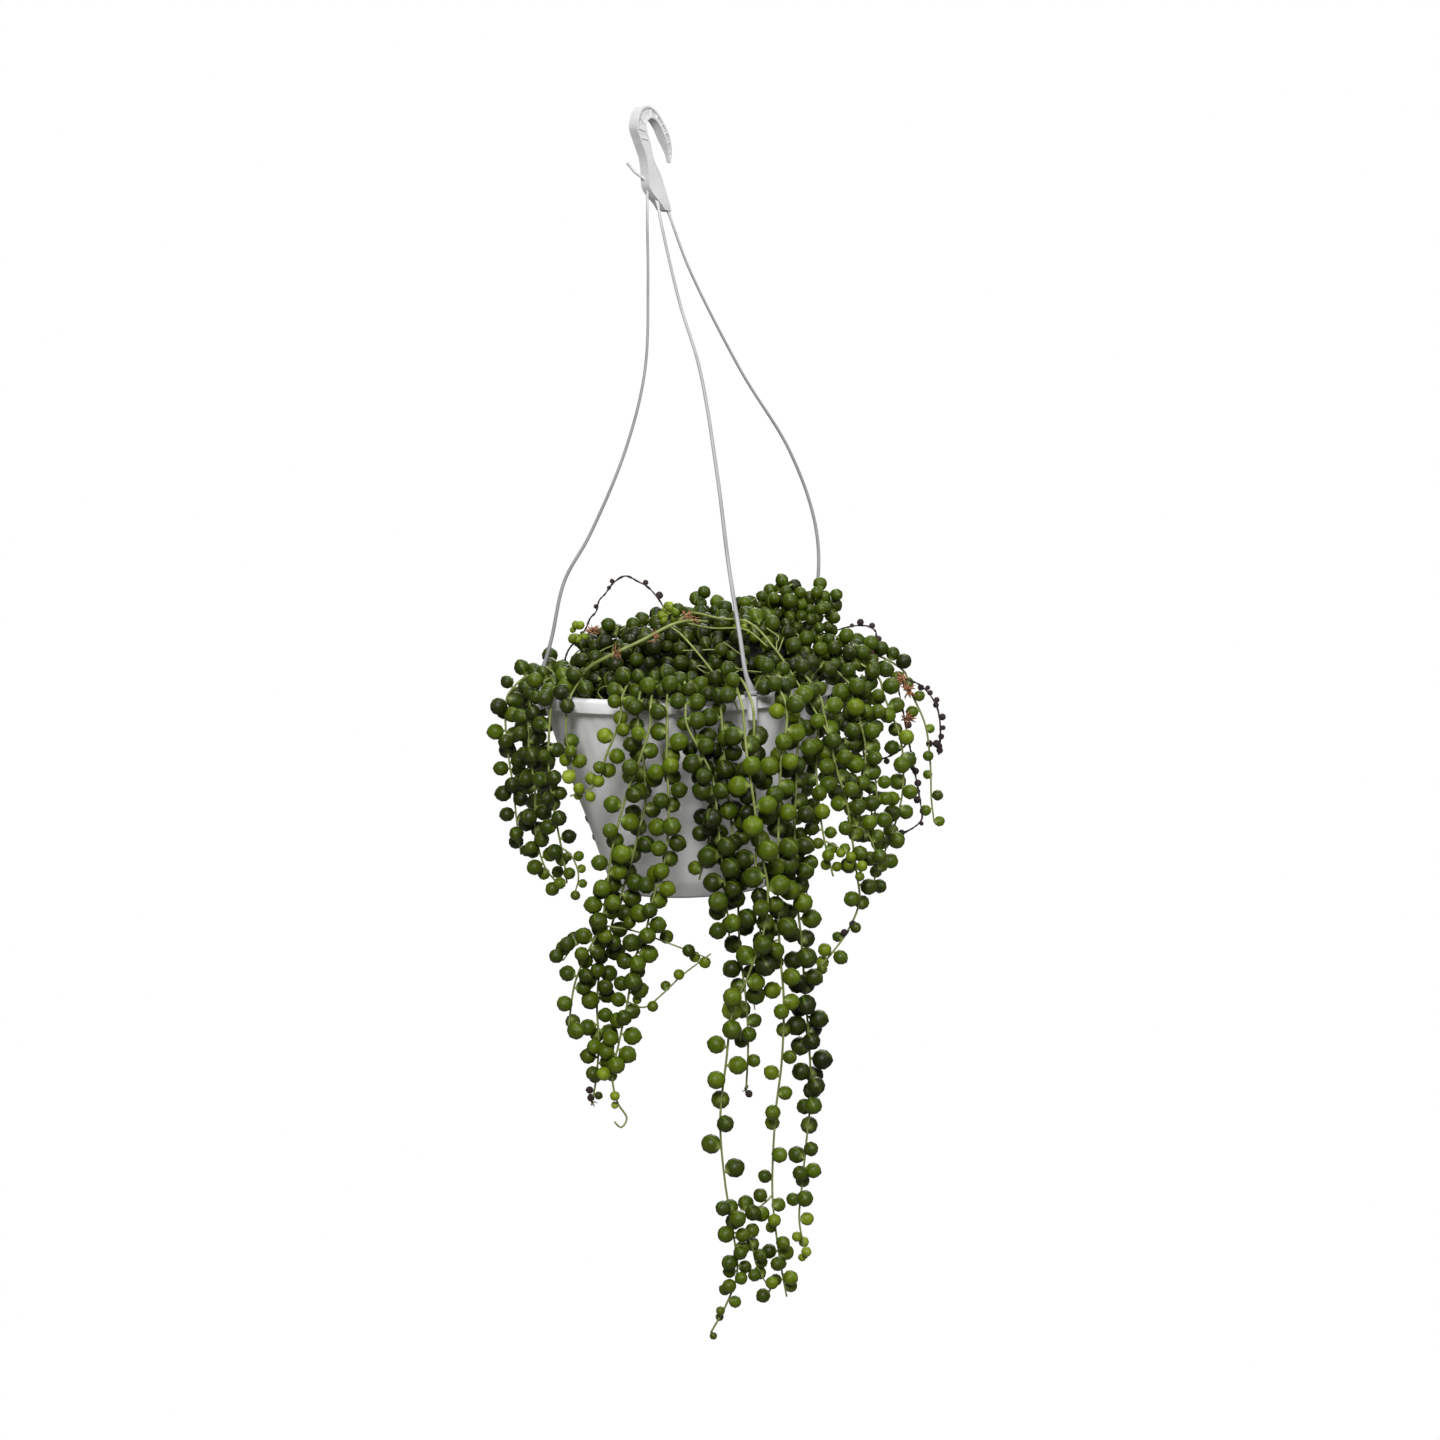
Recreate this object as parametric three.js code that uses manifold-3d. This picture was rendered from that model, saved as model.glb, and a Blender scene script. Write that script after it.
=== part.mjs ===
// A hanging pot of string of pearls, in millimetres, with +Z up.
// Heights are measured from the top of the pot's rim. The whole is hung from the origin,
// which is the point inside the hook where a rod carries it.
import * as THREE from "three";
import { mergeVertices } from "three/addons/utils/BufferGeometryUtils.js";
import Module from "manifold-3d";

const wasm = await Module();
wasm.setup();

// Driving dimensions.
const GAP = 0.3;
const POT_HEIGHT = 103;
const POT_SIDES = 32;
const RIM_RADIUS = 75.4;
const RIM_DEPTH = 7;
const NECK_RADIUS = 72.4;
const BASE_RADIUS = 41.8;
const WALL = 1.6;
const SOIL_TOP = -13;
const BOSS_RADIUS = 2.6;
const BOSS_AZIMUTHS = [170, -66, 44];
const PEG_RADIUS = 1;
const HOOK_HEIGHT = 280;
const HOOK_X = -7;
const HOOK_AZIMUTH = 48;
const HOOK_BAND = 5.5;
const ARM_RADIUS = 1;
const ARM_STEPS = 16;
const STEM_RADIUS = 1.15;
const STEM_STEP = 12.5;
const FIRST_PEARL = 24;
const SHOOT_PEARL = 10;
const ROOT_CIRCLE = 62;
const ROOT_DEPTH = 9;
const PEARL_RADIUS = 4.3;

const radians = THREE.MathUtils.degToRad;
const UP = new THREE.Vector3(0, 0, 1);

function plastic(color) {
  return new THREE.MeshStandardMaterial({ color, roughness: 0.45, metalness: 0 });
}

function leafy(color) {
  return new THREE.MeshStandardMaterial({ color, roughness: 0.5, metalness: 0 });
}

const POT_WHITE = plastic(0xdcdce0);
const HANGER_WHITE = plastic(0xe6e6e6);
const SOIL_BROWN = new THREE.MeshStandardMaterial({ color: 0x2b2018, roughness: 1 });
const PEARL_GREEN = leafy(0x55701f);
const YOUNG_GREEN = leafy(0x8aa83a);
const DRIED_BROWN = leafy(0x3a2a20);

// A closed geometry as a solid that can be joined and cut.
function solidOf(geometry) {
  const bare = geometry.clone();
  bare.deleteAttribute("normal");
  bare.deleteAttribute("uv");
  const merged = mergeVertices(bare, 1e-4);
  return new wasm.Manifold(
    new wasm.Mesh({
      numProp: 3,
      vertProperties: merged.attributes.position.array,
      triVerts: new Uint32Array(merged.index.array),
    }),
  );
}

function joined(solids) {
  return solids.reduce((whole, piece) => whole.add(piece));
}

function meshOf(name, solid, material) {
  const { numProp, vertProperties, triVerts } = solid.getMesh();
  const points = [];
  for (let i = 0; i < vertProperties.length; i += numProp) {
    points.push(vertProperties[i], vertProperties[i + 1], vertProperties[i + 2]);
  }
  const geometry = new THREE.BufferGeometry();
  geometry.setAttribute("position", new THREE.Float32BufferAttribute(points, 3));
  geometry.setIndex([...triVerts]);
  geometry.computeVertexNormals();
  const mesh = new THREE.Mesh(geometry, material);
  mesh.name = name;
  return mesh;
}

// A lathe about +Z from pairs of radius and height.
function turned(profile, sides) {
  const points = profile.map(([radius, height]) => new THREE.Vector2(radius, height));
  return solidOf(new THREE.LatheGeometry(points, sides).rotateX(Math.PI / 2));
}

// An upright round or many-sided column between two heights.
function column(x, y, low, high, radius, sides) {
  const geometry = new THREE.CylinderGeometry(radius, radius, high - low, sides);
  return solidOf(geometry.rotateX(Math.PI / 2).translate(x, y, (low + high) / 2));
}

function section(radius, sides) {
  const corners = [];
  for (let i = 0; i < sides; i += 1) {
    const angle = (2 * Math.PI * i) / sides;
    corners.push(new THREE.Vector2(radius * Math.cos(angle), radius * Math.sin(angle)));
  }
  return new THREE.Shape(corners);
}

function curveThrough(points) {
  return new THREE.CatmullRomCurve3(points.map((p) => new THREE.Vector3(...p)));
}

// A rod of even thickness along a curve.
function rod(curve, radius, sides, steps) {
  const settings = { steps, extrudePath: curve, bevelEnabled: false };
  return solidOf(new THREE.ExtrudeGeometry(section(radius, sides), settings));
}

function around(azimuth, radius, height) {
  return [radius * Math.cos(azimuth), radius * Math.sin(azimuth), height];
}

// Room that is taken: balls along every stem, core and pearl, each with its owner's name.
const taken = [];

function take(owner, point, radius) {
  taken.push({ owner, point, radius });
}

function takeCurve(owner, curve, radius) {
  const count = Math.ceil(curve.getLength() / 3);
  curve.getSpacedPoints(count).forEach((point) => take(owner, point, radius));
}

// The pot's outline, as pairs of radius and height.
const wallAt = (height) =>
  BASE_RADIUS + ((NECK_RADIUS - BASE_RADIUS) * (height + POT_HEIGHT)) / (POT_HEIGHT - RIM_DEPTH);
const potOuter = [
  [0, -POT_HEIGHT],
  [BASE_RADIUS - 1.2, -POT_HEIGHT],
  [BASE_RADIUS + 0.2, -POT_HEIGHT + 1],
  [NECK_RADIUS, -RIM_DEPTH],
  [RIM_RADIUS, -RIM_DEPTH],
  [RIM_RADIUS, -1.4],
  [RIM_RADIUS - 1.2, 0],
];
const potInner = [
  [NECK_RADIUS - WALL, 0],
  [NECK_RADIUS - WALL, -RIM_DEPTH],
  [BASE_RADIUS - WALL, -POT_HEIGHT + WALL],
  [0, -POT_HEIGHT + WALL],
];

const bossSpots = BOSS_AZIMUTHS.map((azimuth) =>
  around(radians(azimuth), RIM_RADIUS + 0.9, 0),
);

function makePot() {
  let pot = turned([...potOuter, ...potInner], POT_SIDES);
  for (const [x, y] of bossSpots) {
    pot = pot.add(column(x, y, -12, 0, BOSS_RADIUS, 10));
  }
  for (const [x, y] of bossSpots) {
    pot = pot.subtract(column(x, y, -8, 1, PEG_RADIUS + GAP, 8));
  }
  for (let i = 0; i < 4; i += 1) {
    const [x, y] = around(radians(45 + 90 * i), 0.62 * BASE_RADIUS, 0);
    pot = pot.subtract(column(x, y, -POT_HEIGHT - 1, -POT_HEIGHT + WALL + 1, 3.5, 8));
  }
  return pot;
}

// The hook, outlined in its own plane, with the point where the rod rests at 0, 0.
function makeHook() {
  const outline = new THREE.Shape();
  outline.moveTo(-3.4, -26);
  outline.splineThru(
    [
      [-4.4, -19],
      [-8, -11],
      [-10.4, -4],
      [-6.6, 4.2],
      [-0.6, 6],
      [4.7, 3.5],
      [9.4, -1.5],
      [13.9, -8.8],
      [16.2, -15.3],
      [15.6, -21],
    ].map((p) => new THREE.Vector2(...p)),
  );
  outline.lineTo(14.2, -20.7);
  outline.splineThru(
    [
      [11.1, -11.3],
      [7.2, -4.3],
      [3.6, -0.8],
      [0, 0],
      [-3.1, -2.4],
      [-3, -6.3],
      [-1, -12.3],
      [1.3, -20.3],
      [6, -28],
      [9.8, -37.3],
      [12.4, -45],
    ].map((p) => new THREE.Vector2(...p)),
  );
  outline.lineTo(7.6, -44.4);
  outline.lineTo(2.6, -39);
  outline.lineTo(-3.4, -35);
  const settings = { depth: HOOK_BAND, curveSegments: 2, steps: 1, bevelEnabled: false };
  const geometry = new THREE.ExtrudeGeometry(outline, settings);
  geometry.translate(0, 0, -HOOK_BAND / 2);
  geometry.rotateX(Math.PI / 2);
  geometry.rotateZ(radians(HOOK_AZIMUTH));
  geometry.translate(HOOK_X, 0, HOOK_HEIGHT);
  return solidOf(geometry);
}

// Each arm leaves the crown, swings out and comes down on the boss of its own number.
const armRoutes = [
  [
    [-8, -1, 250],
    [-9, 0, 231],
    [-10, 1, 201],
    [-13.5, 2, 157],
    [-25, 4, 118],
    [-45, 8, 76],
    [-59, 10, 53],
    [-67, 12, 24],
    [-72, 12.8, 9],
  ],
  [
    [-4, 3, 243],
    [-2, 0, 228],
    [5, -13, 190],
    [13.4, -33, 156],
    [19.6, -48.5, 103],
    [22.7, -56, 64],
    [26.7, -66, 28],
    [28.6, -69.5, 11],
  ],
  [
    [0.5, 8, 239],
    [4, 8, 227],
    [11, 8, 206],
    [35, 24, 155],
    [59, 41, 113],
    [71, 50, 76],
    [72, 51, 48],
    [66, 53, 22],
    [58, 54, 8],
  ],
];
const armCurves = armRoutes.map((route, i) =>
  curveThrough([...route, [bossSpots[i][0], bossSpots[i][1], 1]]),
);

function makeHanger() {
  const pieces = [makeHook()];
  pieces.push(rod(curveThrough([[-8, -1, 249], [-12.5, -4, 253], [-17.5, -7, 258.5]]), 0.8, 5, 2));
  armCurves.forEach((curve, i) => {
    const [x, y] = bossSpots[i];
    pieces.push(rod(curve, ARM_RADIUS, 5, ARM_STEPS));
    pieces.push(column(x, y, GAP, 2, BOSS_RADIUS + 0.9, 10));
    pieces.push(column(x, y, -7, 1, PEG_RADIUS, 8));
  });
  return joined(pieces);
}

armCurves.forEach((curve) => takeCurve("hanger", curve, ARM_RADIUS + 0.3));
bossSpots.forEach(([x, y]) => {
  take("hanger", new THREE.Vector3(x, y, 1), BOSS_RADIUS + 1.2);
  take("hanger", new THREE.Vector3(x, y, -5), BOSS_RADIUS + 0.6);
});

// Whether a ball stays clear of the pot's outer wall and rim.
function clearOfPot(point, radius) {
  const fromAxis = Math.hypot(point.x, point.y);
  const low = point.z < -RIM_DEPTH;
  const wall = low ? wallAt(Math.max(point.z, -POT_HEIGHT)) : RIM_RADIUS;
  const outside = fromAxis - wall > radius + GAP;
  const above = point.z > radius + GAP;
  const below = point.z < -POT_HEIGHT - radius - GAP;
  const inside = fromAxis < NECK_RADIUS - WALL - radius - GAP && point.z > SOIL_TOP + radius + GAP;
  return outside || above || below || inside;
}

// The mound: how high its core stands at a place, and how far out it reaches at a height.
const MOUND_LOW = SOIL_TOP + 1;
const MOUND_PEAK = [50, 16];
const STALK_RADIUS = 3;
const stalkSpots = [0, 1, 2, 3].map((i) => around(radians(45 + 90 * i), 30, SOIL_TOP));
function moundTop(x, y) {
  const fromPeak = Math.hypot(x - MOUND_PEAK[0], y - MOUND_PEAK[1]);
  const lumps = 2.4 * Math.sin(x / 9 + 1) * Math.cos(y / 8);
  return 27 + 0.17 * x + 0.05 * y + 8 * Math.exp(-((fromPeak / 24) ** 2)) + lumps;
}
function moundReach(height) {
  return 57 + 9 * THREE.MathUtils.smoothstep(height, -3, 22);
}
function onMound(azimuth, rise) {
  const share = Math.sqrt(Math.cos(rise));
  const [x, y] = around(azimuth, 60 * share, 0);
  const height = MOUND_LOW + (moundTop(x, y) - MOUND_LOW) * Math.sin(rise) ** 0.7;
  return new THREE.Vector3(...around(azimuth, share * moundReach(height), height));
}

// Whether a ball stays clear of the mound's core.
function clearOfMound(point, radius) {
  const beside = Math.hypot(point.x, point.y) > moundReach(point.z) + radius + 1;
  return beside || point.z > moundTop(point.x, point.y) + radius + 1;
}

function roomFor(owner, point, radius, apart) {
  const clash = taken.some((ball) => {
    const reach = ball.radius + radius + (ball.owner === owner ? apart : GAP);
    return ball.point.distanceTo(point) < reach && !(ball.stem && ball.owner === owner);
  });
  const offMound = owner === "mound" || clearOfMound(point, radius);
  return !clash && offMound && clearOfPot(point, radius);
}

// The same repeatable draws between 0 and 1 for every build.
let seed = 20231;
function draw() {
  seed = (seed * 16807) % 2147483647;
  return seed / 2147483647;
}

// A pearl: two twisted rings of four corners between two tips, turned so that one tip is
// sunk to the point that it grows from.
const RING_HEIGHT = 0.36;
function pearl(point, outward, radius) {
  const corners = [0, 0, 1, 0, 0, -1];
  const faces = [];
  for (let i = 0; i < 4; i += 1) {
    const next = (i + 1) % 4;
    const [upper, lower, upperNext, lowerNext] = [2 + i, 6 + i, 2 + next, 6 + next];
    const ringRadius = Math.sqrt(1 - RING_HEIGHT ** 2);
    corners.push(...around(radians(90 * i), ringRadius, RING_HEIGHT));
    faces.push(0, upper, upperNext, upper, lower, upperNext);
    faces.push(upperNext, lower, lowerNext, lower, 1, lowerNext);
  }
  for (let i = 0; i < 4; i += 1) {
    corners.push(...around(radians(90 * i + 45), Math.sqrt(1 - RING_HEIGHT ** 2), -RING_HEIGHT));
  }
  const geometry = new THREE.PolyhedronGeometry(corners, faces, radius, 0);
  geometry.applyQuaternion(new THREE.Quaternion().setFromUnitVectors(UP, outward));
  const centre = point.clone().addScaledVector(outward, radius);
  geometry.translate(centre.x, centre.y, centre.z);
  return solidOf(geometry);
}

// Pearls get smaller over the last part of a string.
function pearlRadius(size, along) {
  const tip = THREE.MathUtils.smoothstep(along, 0.7, 1);
  return size * (0.92 + 0.16 * draw()) * (1 - 0.4 * tip);
}

// A string's stem stands in a hole in the soil and arches over the rim to its hanging points.
function stringRoute(hanging) {
  const [x, y, z] = hanging[0];
  const azimuth = Math.atan2(y, x);
  const out = Math.hypot(x, y);
  return [
    around(azimuth, ROOT_CIRCLE, SOIL_TOP - ROOT_DEPTH),
    around(azimuth, ROOT_CIRCLE, SOIL_TOP),
    around(azimuth, ROOT_CIRCLE + 3, -3),
    around(azimuth, 0.5 * (ROOT_CIRCLE + out) - 1, 7 + 0.1 * (out - RIM_RADIUS)),
    around(azimuth, out - 2, Math.min(z + 8, 5)),
    ...hanging,
  ];
}

// Strings of the front and sides, each with the points that it hangs through.
const placedStrings = {
  left_1: [[-91, -8, -9], [-91, -10, -27], [-89, -12, -47], [-88, -10, -68], [-87, -8, -83]],
  left_2: [
    [-78, -31, -9], [-79, -32, -24], [-77, -32, -47], [-78, -30, -67], [-74, -28, -87],
    [-66, -26, -98],
  ],
  left_3: [
    [-67, -46, -8], [-69, -48, -32], [-68, -48, -50], [-66, -46, -66], [-64, -44, -81],
    [-63, -44, -92],
  ],
  left_4: [[-59, -56, -9], [-59, -58, -20], [-56, -57, -37]],
  young_1: [
    [-32, -81, -6], [-35, -83, -14], [-40, -82, -25], [-43, -81, -35], [-49, -79, -41],
    [-58, -76, -44],
  ],
  front_1: [
    [-18, -92, -9], [-24, -93, -26], [-30, -92, -40], [-35, -92, -55], [-39, -92, -69], [-42, -92, -85],
    [-46, -90, -105], [-54, -88, -120], [-60, -86, -134], [-64, -86, -155],
  ],
  front_2: [
    [-24, -82, -9], [-22, -83, -30], [-22, -83, -47], [-26, -83, -62], [-30, -83, -76], [-35, -82, -90],
    [-41, -80, -107], [-47, -78, -125], [-50, -78, -146], [-50, -78, -164], [-52, -78, -182],
    [-55, -78, -196],
  ],
  front_3: [
    [-10, -92, -8], [-11, -93, -27], [-11, -93, -46], [-12, -93, -61], [-15, -93, -78], [-20, -94, -91],
    [-25, -94, -109], [-31, -92, -123], [-35, -90, -143], [-40, -88, -163], [-44, -87, -183],
    [-42, -87, -205],
  ],
  front_4: [[2, -82, -10], [7, -81, -33], [9, -80, -51], [7, -80, -69], [2, -79, -87]],
  long_1: [
    [26, -99, -9], [27, -104, -29], [29, -105, -46], [31, -105, -67], [34, -104, -89], [31, -102, -110],
    [23, -99, -131], [15, -97, -149], [11, -95, -173], [7, -93, -202], [8, -92, -233], [11, -92, -259],
    [12, -92, -279], [6, -91, -295], [-2, -90, -309],
  ],
  long_2: [
    [16, -85, -12], [17, -87, -39], [19, -87, -68], [20, -87, -96], [20, -87, -121], [22, -87, -147],
    [22, -87, -168], [20, -87, -191],
  ],
  long_3: [
    [47, -86, -9], [43, -91, -31], [40, -92, -72], [39, -91, -96], [39, -90, -121], [40, -88, -146],
    [38, -86, -176], [34, -84, -203], [31, -82, -242], [32, -82, -263], [34, -81, -282], [36, -80, -296],
  ],
  long_4: [
    [53, -77, -13], [51, -79, -33], [49, -79, -61], [48, -78, -89], [50, -76, -118], [51, -74, -144],
    [52, -73, -170], [52, -72, -197], [49, -71, -221], [46, -71, -243], [44, -71, -261], [47, -71, -280],
  ],
  bundle_1: [
    [31, -92, -9], [30, -93, -30], [30, -94, -60], [29, -94, -85], [30, -93, -108],
    [29, -92, -128],
  ],
  bundle_2: [[8, -92, -9], [10, -95, -35], [12, -96, -60], [14, -96, -88], [15, -97, -112]],
  right_1: [[82, -38, -8], [87, -40, -31], [85, -41, -49], [82, -41, -74]],
  right_2: [
    [66, -64, -12], [71, -67, -39], [75, -67, -54], [77, -65, -71], [79, -61, -90], [80, -57, -106],
    [74, -56, -120], [66, -58, -130], [58, -60, -138],
  ],
  right_3: [
    [99, -10, -9], [107, -12, -34], [107, -12, -58], [103, -12, -74], [97, -12, -89],
    [90, -12, -106],
  ],
  right_4: [[114, 14, -9], [122, 16, -29], [124, 16, -49], [124, 16, -68], [125, 16, -80]],
  right_5: [[64, -54, -9], [61, -66, -37], [62, -70, -61], [64, -70, -76], [67, -70, -90]],
  right_6: [[84, 20, -9], [89, 22, -34], [92, 22, -59], [94, 21, -84], [95, 21, -100]],
};

// Strings of the back, spread evenly and longest in the middle.
const BACK_STRINGS = 9;
for (let i = 0; i < BACK_STRINGS; i += 1) {
  const azimuth = radians(28 + (138 * i) / (BACK_STRINGS - 1));
  const out = i % 2 ? 92 : 83;
  const drop = 34 + 58 * Math.sin(azimuth) + 9 * (i % 3);
  const sway = i % 2 ? 5 : -4;
  placedStrings[`back_${i + 1}`] = [0.12, 0.4, 0.7, 1].map((part) => {
    const turn = azimuth + (radians(sway) * part * part) / 2;
    return around(turn, out - 2 * part, -drop * part);
  });
}

function stepsAlong(curve) {
  return Math.round(curve.getLength() / STEM_STEP);
}

// The middle of one straight stretch of a rod.
function middleOf(curve, step, steps) {
  return curve.getPointAt(step / steps).lerp(curve.getPointAt((step + 1) / steps), 0.5);
}

// Side shoots of the strings of the same name, listed by the points that they pass
// through after they leave the stem.
const sideShoots = {
  front_1: [[-35, -86, -117], [-20, -86, -124], [-4, -88, -130]],
  front_3: [[-28, -85, -149], [-17, -84, -144], [-7, -84, -134]],
  long_1: [[18, -90, -262], [22, -88, -278], [28, -87, -290]],
};

// The place on a stem that a shoot with these points grows from.
function forkOf(curve, points) {
  const goal = new THREE.Vector3(...points[0]);
  const steps = stepsAlong(curve);
  const middles = Array.from({ length: steps }, (_, step) => middleOf(curve, step, steps));
  const reach = (middle) => middle.distanceTo(goal) + 0.7 * Math.max(0, goal.z - middle.z + 4);
  return middles.reduce((best, middle) => (reach(middle) < reach(best) ? middle : best));
}

const strings = Object.entries(placedStrings).map(([name, hanging]) => {
  const curve = curveThrough(stringRoute(hanging));
  const listed = sideShoots[name] ? [sideShoots[name]] : [];
  const shoots = listed.map((points) => curveThrough([forkOf(curve, points).toArray(), ...points]));
  return { name, curve, shoots };
});

// Dried stems, each in its own hole in the soil.
const driedRoutes = {
  dried_arch: [
    [-58, 26, SOIL_TOP - ROOT_DEPTH], [-58, 26, SOIL_TOP], [-62, 27, 2], [-60, 25, 15], [-50, 20, 27],
    [-44, 18, 36], [-39, 16, 45], [-28, 14, 53], [-19, 14, 50], [-12, 14, 42],
  ],
  dried_right: [
    [60, 12, SOIL_TOP - ROOT_DEPTH], [60, 12, SOIL_TOP], [63, 12, 6], [71, 11, 19], [82, 10, 23],
    [95, 10, 23], [99, 10, 19], [97, 10, 10], [100, 10, 0], [108, 8, -8],
  ],
};

const holes = [];
strings.forEach(({ curve }) => holes.push([curve.points[0], 2.3]));
Object.values(driedRoutes).forEach(([foot]) => holes.push([new THREE.Vector3(...foot), 1.9]));
stalkSpots.forEach((spot) => holes.push([new THREE.Vector3(...spot), STALK_RADIUS + 1.8]));

function makeSoil() {
  const brink = wallAt(SOIL_TOP - 1.5) - WALL - 2 * GAP;
  const foot = BASE_RADIUS - WALL - 2 * GAP;
  const bottom = -POT_HEIGHT + WALL + GAP;
  const profile = [
    [0, bottom],
    [foot, bottom],
    [brink, SOIL_TOP - 1.5],
    [brink - 3, SOIL_TOP],
    [0, SOIL_TOP],
  ];
  const low = SOIL_TOP - ROOT_DEPTH - GAP;
  return holes.reduce(
    (soil, [spot, radius]) => soil.subtract(column(spot.x, spot.y, low, 0, radius, 4)),
    turned(profile, 20),
  );
}

strings.forEach(({ name, curve, shoots }) => {
  [curve, ...shoots].forEach((stem) => takeCurve(name, stem, STEM_RADIUS));
});
const driedCurves = Object.fromEntries(
  Object.entries(driedRoutes).map(([name, route]) => [name, curveThrough(route)]),
);
Object.entries(driedCurves).forEach(([name, curve]) => takeCurve(name, curve, 1));
taken.forEach((ball) => {
  ball.stem = true;
});

// A stem with pearls along it, one on whichever of its three faces has room, beginning
// with the next face round.
function pearled(name, curve, first, spacing, size) {
  const length = curve.getLength();
  const steps = stepsAlong(curve);
  const pieces = [rod(curve, STEM_RADIUS, 3, steps)];
  const frames = curve.computeFrenetFrames(steps, false);
  let face = Math.floor(3 * draw());
  for (let run = first; run < length; run += spacing) {
    const step = Math.min(Math.floor((run / length) * steps), steps - 1);
    const point = middleOf(curve, step, steps);
    const radius = pearlRadius(size, step / steps);
    for (let tries = 0; tries < 3; tries += 1) {
      face += 1;
      const angle = radians(60 + 120 * face);
      const normal = frames.normals[step].clone().add(frames.normals[step + 1]);
      const binormal = frames.binormals[step].clone().add(frames.binormals[step + 1]);
      const outward = normal.multiplyScalar(Math.cos(angle));
      outward.addScaledVector(binormal, Math.sin(angle)).normalize();
      const centre = point.clone().addScaledVector(outward, radius);
      if (roomFor(name, centre, radius, 0.5)) {
        pieces.push(pearl(point, outward, radius));
        take(name, centre, radius);
        break;
      }
    }
  }
  return pieces;
}

function makeString({ name, curve, shoots }, spacing, size) {
  const pieces = pearled(name, curve, FIRST_PEARL, spacing, size);
  shoots.forEach((shoot) => pieces.push(...pearled(name, shoot, SHOOT_PEARL, spacing, size)));
  return joined(pieces);
}

// The mound: a smaller core on stalks that stand in the soil, covered with pearls. The
// pearls' places turn by the golden angle from one to the next as they rise from the rim.
// They are larger than life, so that they cover the core, and smaller where room is short.
const MOUND_PEARLS = 132;
const MOUND_APART = 0.1;
const MOUND_PEARL_RADII = [5.6, 5, 4.4, 3.8];
const PEARL_SINK = 3.3;
const LOWEST_RISE = 0.15;
const STALK_TOP = 4;
const CORE_SIDES = 18;
const CORE_RINGS = 5;
function makeCore() {
  const steps = Array.from({ length: CORE_RINGS + 1 }, (_, i) => new THREE.Vector2(CORE_RINGS - i, i));
  const core = new THREE.LatheGeometry([new THREE.Vector2(0, -1), ...steps], CORE_SIDES);
  core.rotateX(Math.PI / 2);
  const spots = core.attributes.position;
  for (let i = 0; i < spots.count; i += 1) {
    const ring = Math.round(spots.getZ(i));
    const azimuth = Math.atan2(spots.getY(i), spots.getX(i));
    const rise = (ring / CORE_RINGS) * (Math.PI / 2);
    const spot = ring < 0 ? new THREE.Vector3(0, 0, MOUND_LOW) : onMound(azimuth, rise);
    spots.setXYZ(i, spot.x, spot.y, spot.z);
  }
  return solidOf(core);
}

function makeMound() {
  const pieces = [makeCore()];
  stalkSpots.forEach(([x, y]) => {
    pieces.push(column(x, y, SOIL_TOP - ROOT_DEPTH, STALK_TOP, STALK_RADIUS, 5));
  });
  const goldenAngle = Math.PI * (3 - Math.sqrt(5));
  for (let i = 0; i < MOUND_PEARLS; i += 1) {
    const azimuth = i * goldenAngle;
    const rise = THREE.MathUtils.lerp(LOWEST_RISE, Math.PI / 2, (i + 0.5) / MOUND_PEARLS);
    const spot = onMound(azimuth, rise);
    const sideways = onMound(azimuth + 0.02, rise).sub(onMound(azimuth - 0.02, rise));
    const upwards = onMound(azimuth, rise + 0.01).sub(onMound(azimuth, rise - 0.01));
    const outward = sideways.cross(upwards).normalize();
    const foot = spot.addScaledVector(outward, -PEARL_SINK);
    for (const size of MOUND_PEARL_RADII) {
      const centre = foot.clone().addScaledVector(outward, size);
      if (roomFor("mound", centre, size, MOUND_APART)) {
        pieces.push(pearl(foot, outward, size));
        take("mound", centre, size);
        break;
      }
    }
  }
  return joined(pieces);
}

function makeDried(name, curve, spacing) {
  const length = curve.getLength();
  const steps = Math.round(length / 8);
  const pieces = [rod(curve, 0.8, 3, steps)];
  const frames = curve.computeFrenetFrames(steps, false);
  for (let run = 45; run < length; run += spacing) {
    const step = Math.min(Math.floor((run / length) * steps), steps - 1);
    const point = middleOf(curve, step, steps);
    const bead = new THREE.OctahedronGeometry(1.9, 0);
    const outward = frames.normals[step].clone().negate();
    const centre = point.clone().addScaledVector(outward, 1.2);
    bead.translate(centre.x, centre.y, centre.z);
    if (roomFor(name, centre, 1.9, 0.2)) {
      pieces.push(solidOf(bead));
      take(name, centre, 1.9);
    }
  }
  return joined(pieces);
}

const hung = new THREE.Group();
hung.position.set(-HOOK_X, 0, -HOOK_HEIGHT);
hung.add(meshOf("pot", makePot(), POT_WHITE));
hung.add(meshOf("soil", makeSoil(), SOIL_BROWN));
hung.add(meshOf("hanger", makeHanger(), HANGER_WHITE));
Object.entries(driedCurves).forEach(([name, curve]) => {
  hung.add(meshOf(name, makeDried(name, curve, 11), DRIED_BROWN));
});
strings.forEach((string) => {
  const young = string.name.startsWith("young");
  const size = young ? 3.5 : PEARL_RADIUS;
  const spacing = string.name.startsWith("back") ? 21 : 18.5;
  const material = young ? YOUNG_GREEN : PEARL_GREEN;
  hung.add(meshOf(`string_${string.name}`, makeString(string, spacing, size), material));
});
hung.add(meshOf("mound", makeMound(), PEARL_GREEN));

const part = new THREE.Group();
part.add(hung);
export default part;
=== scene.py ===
import bpy
import math
import numpy as np
from mathutils import Matrix


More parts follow.
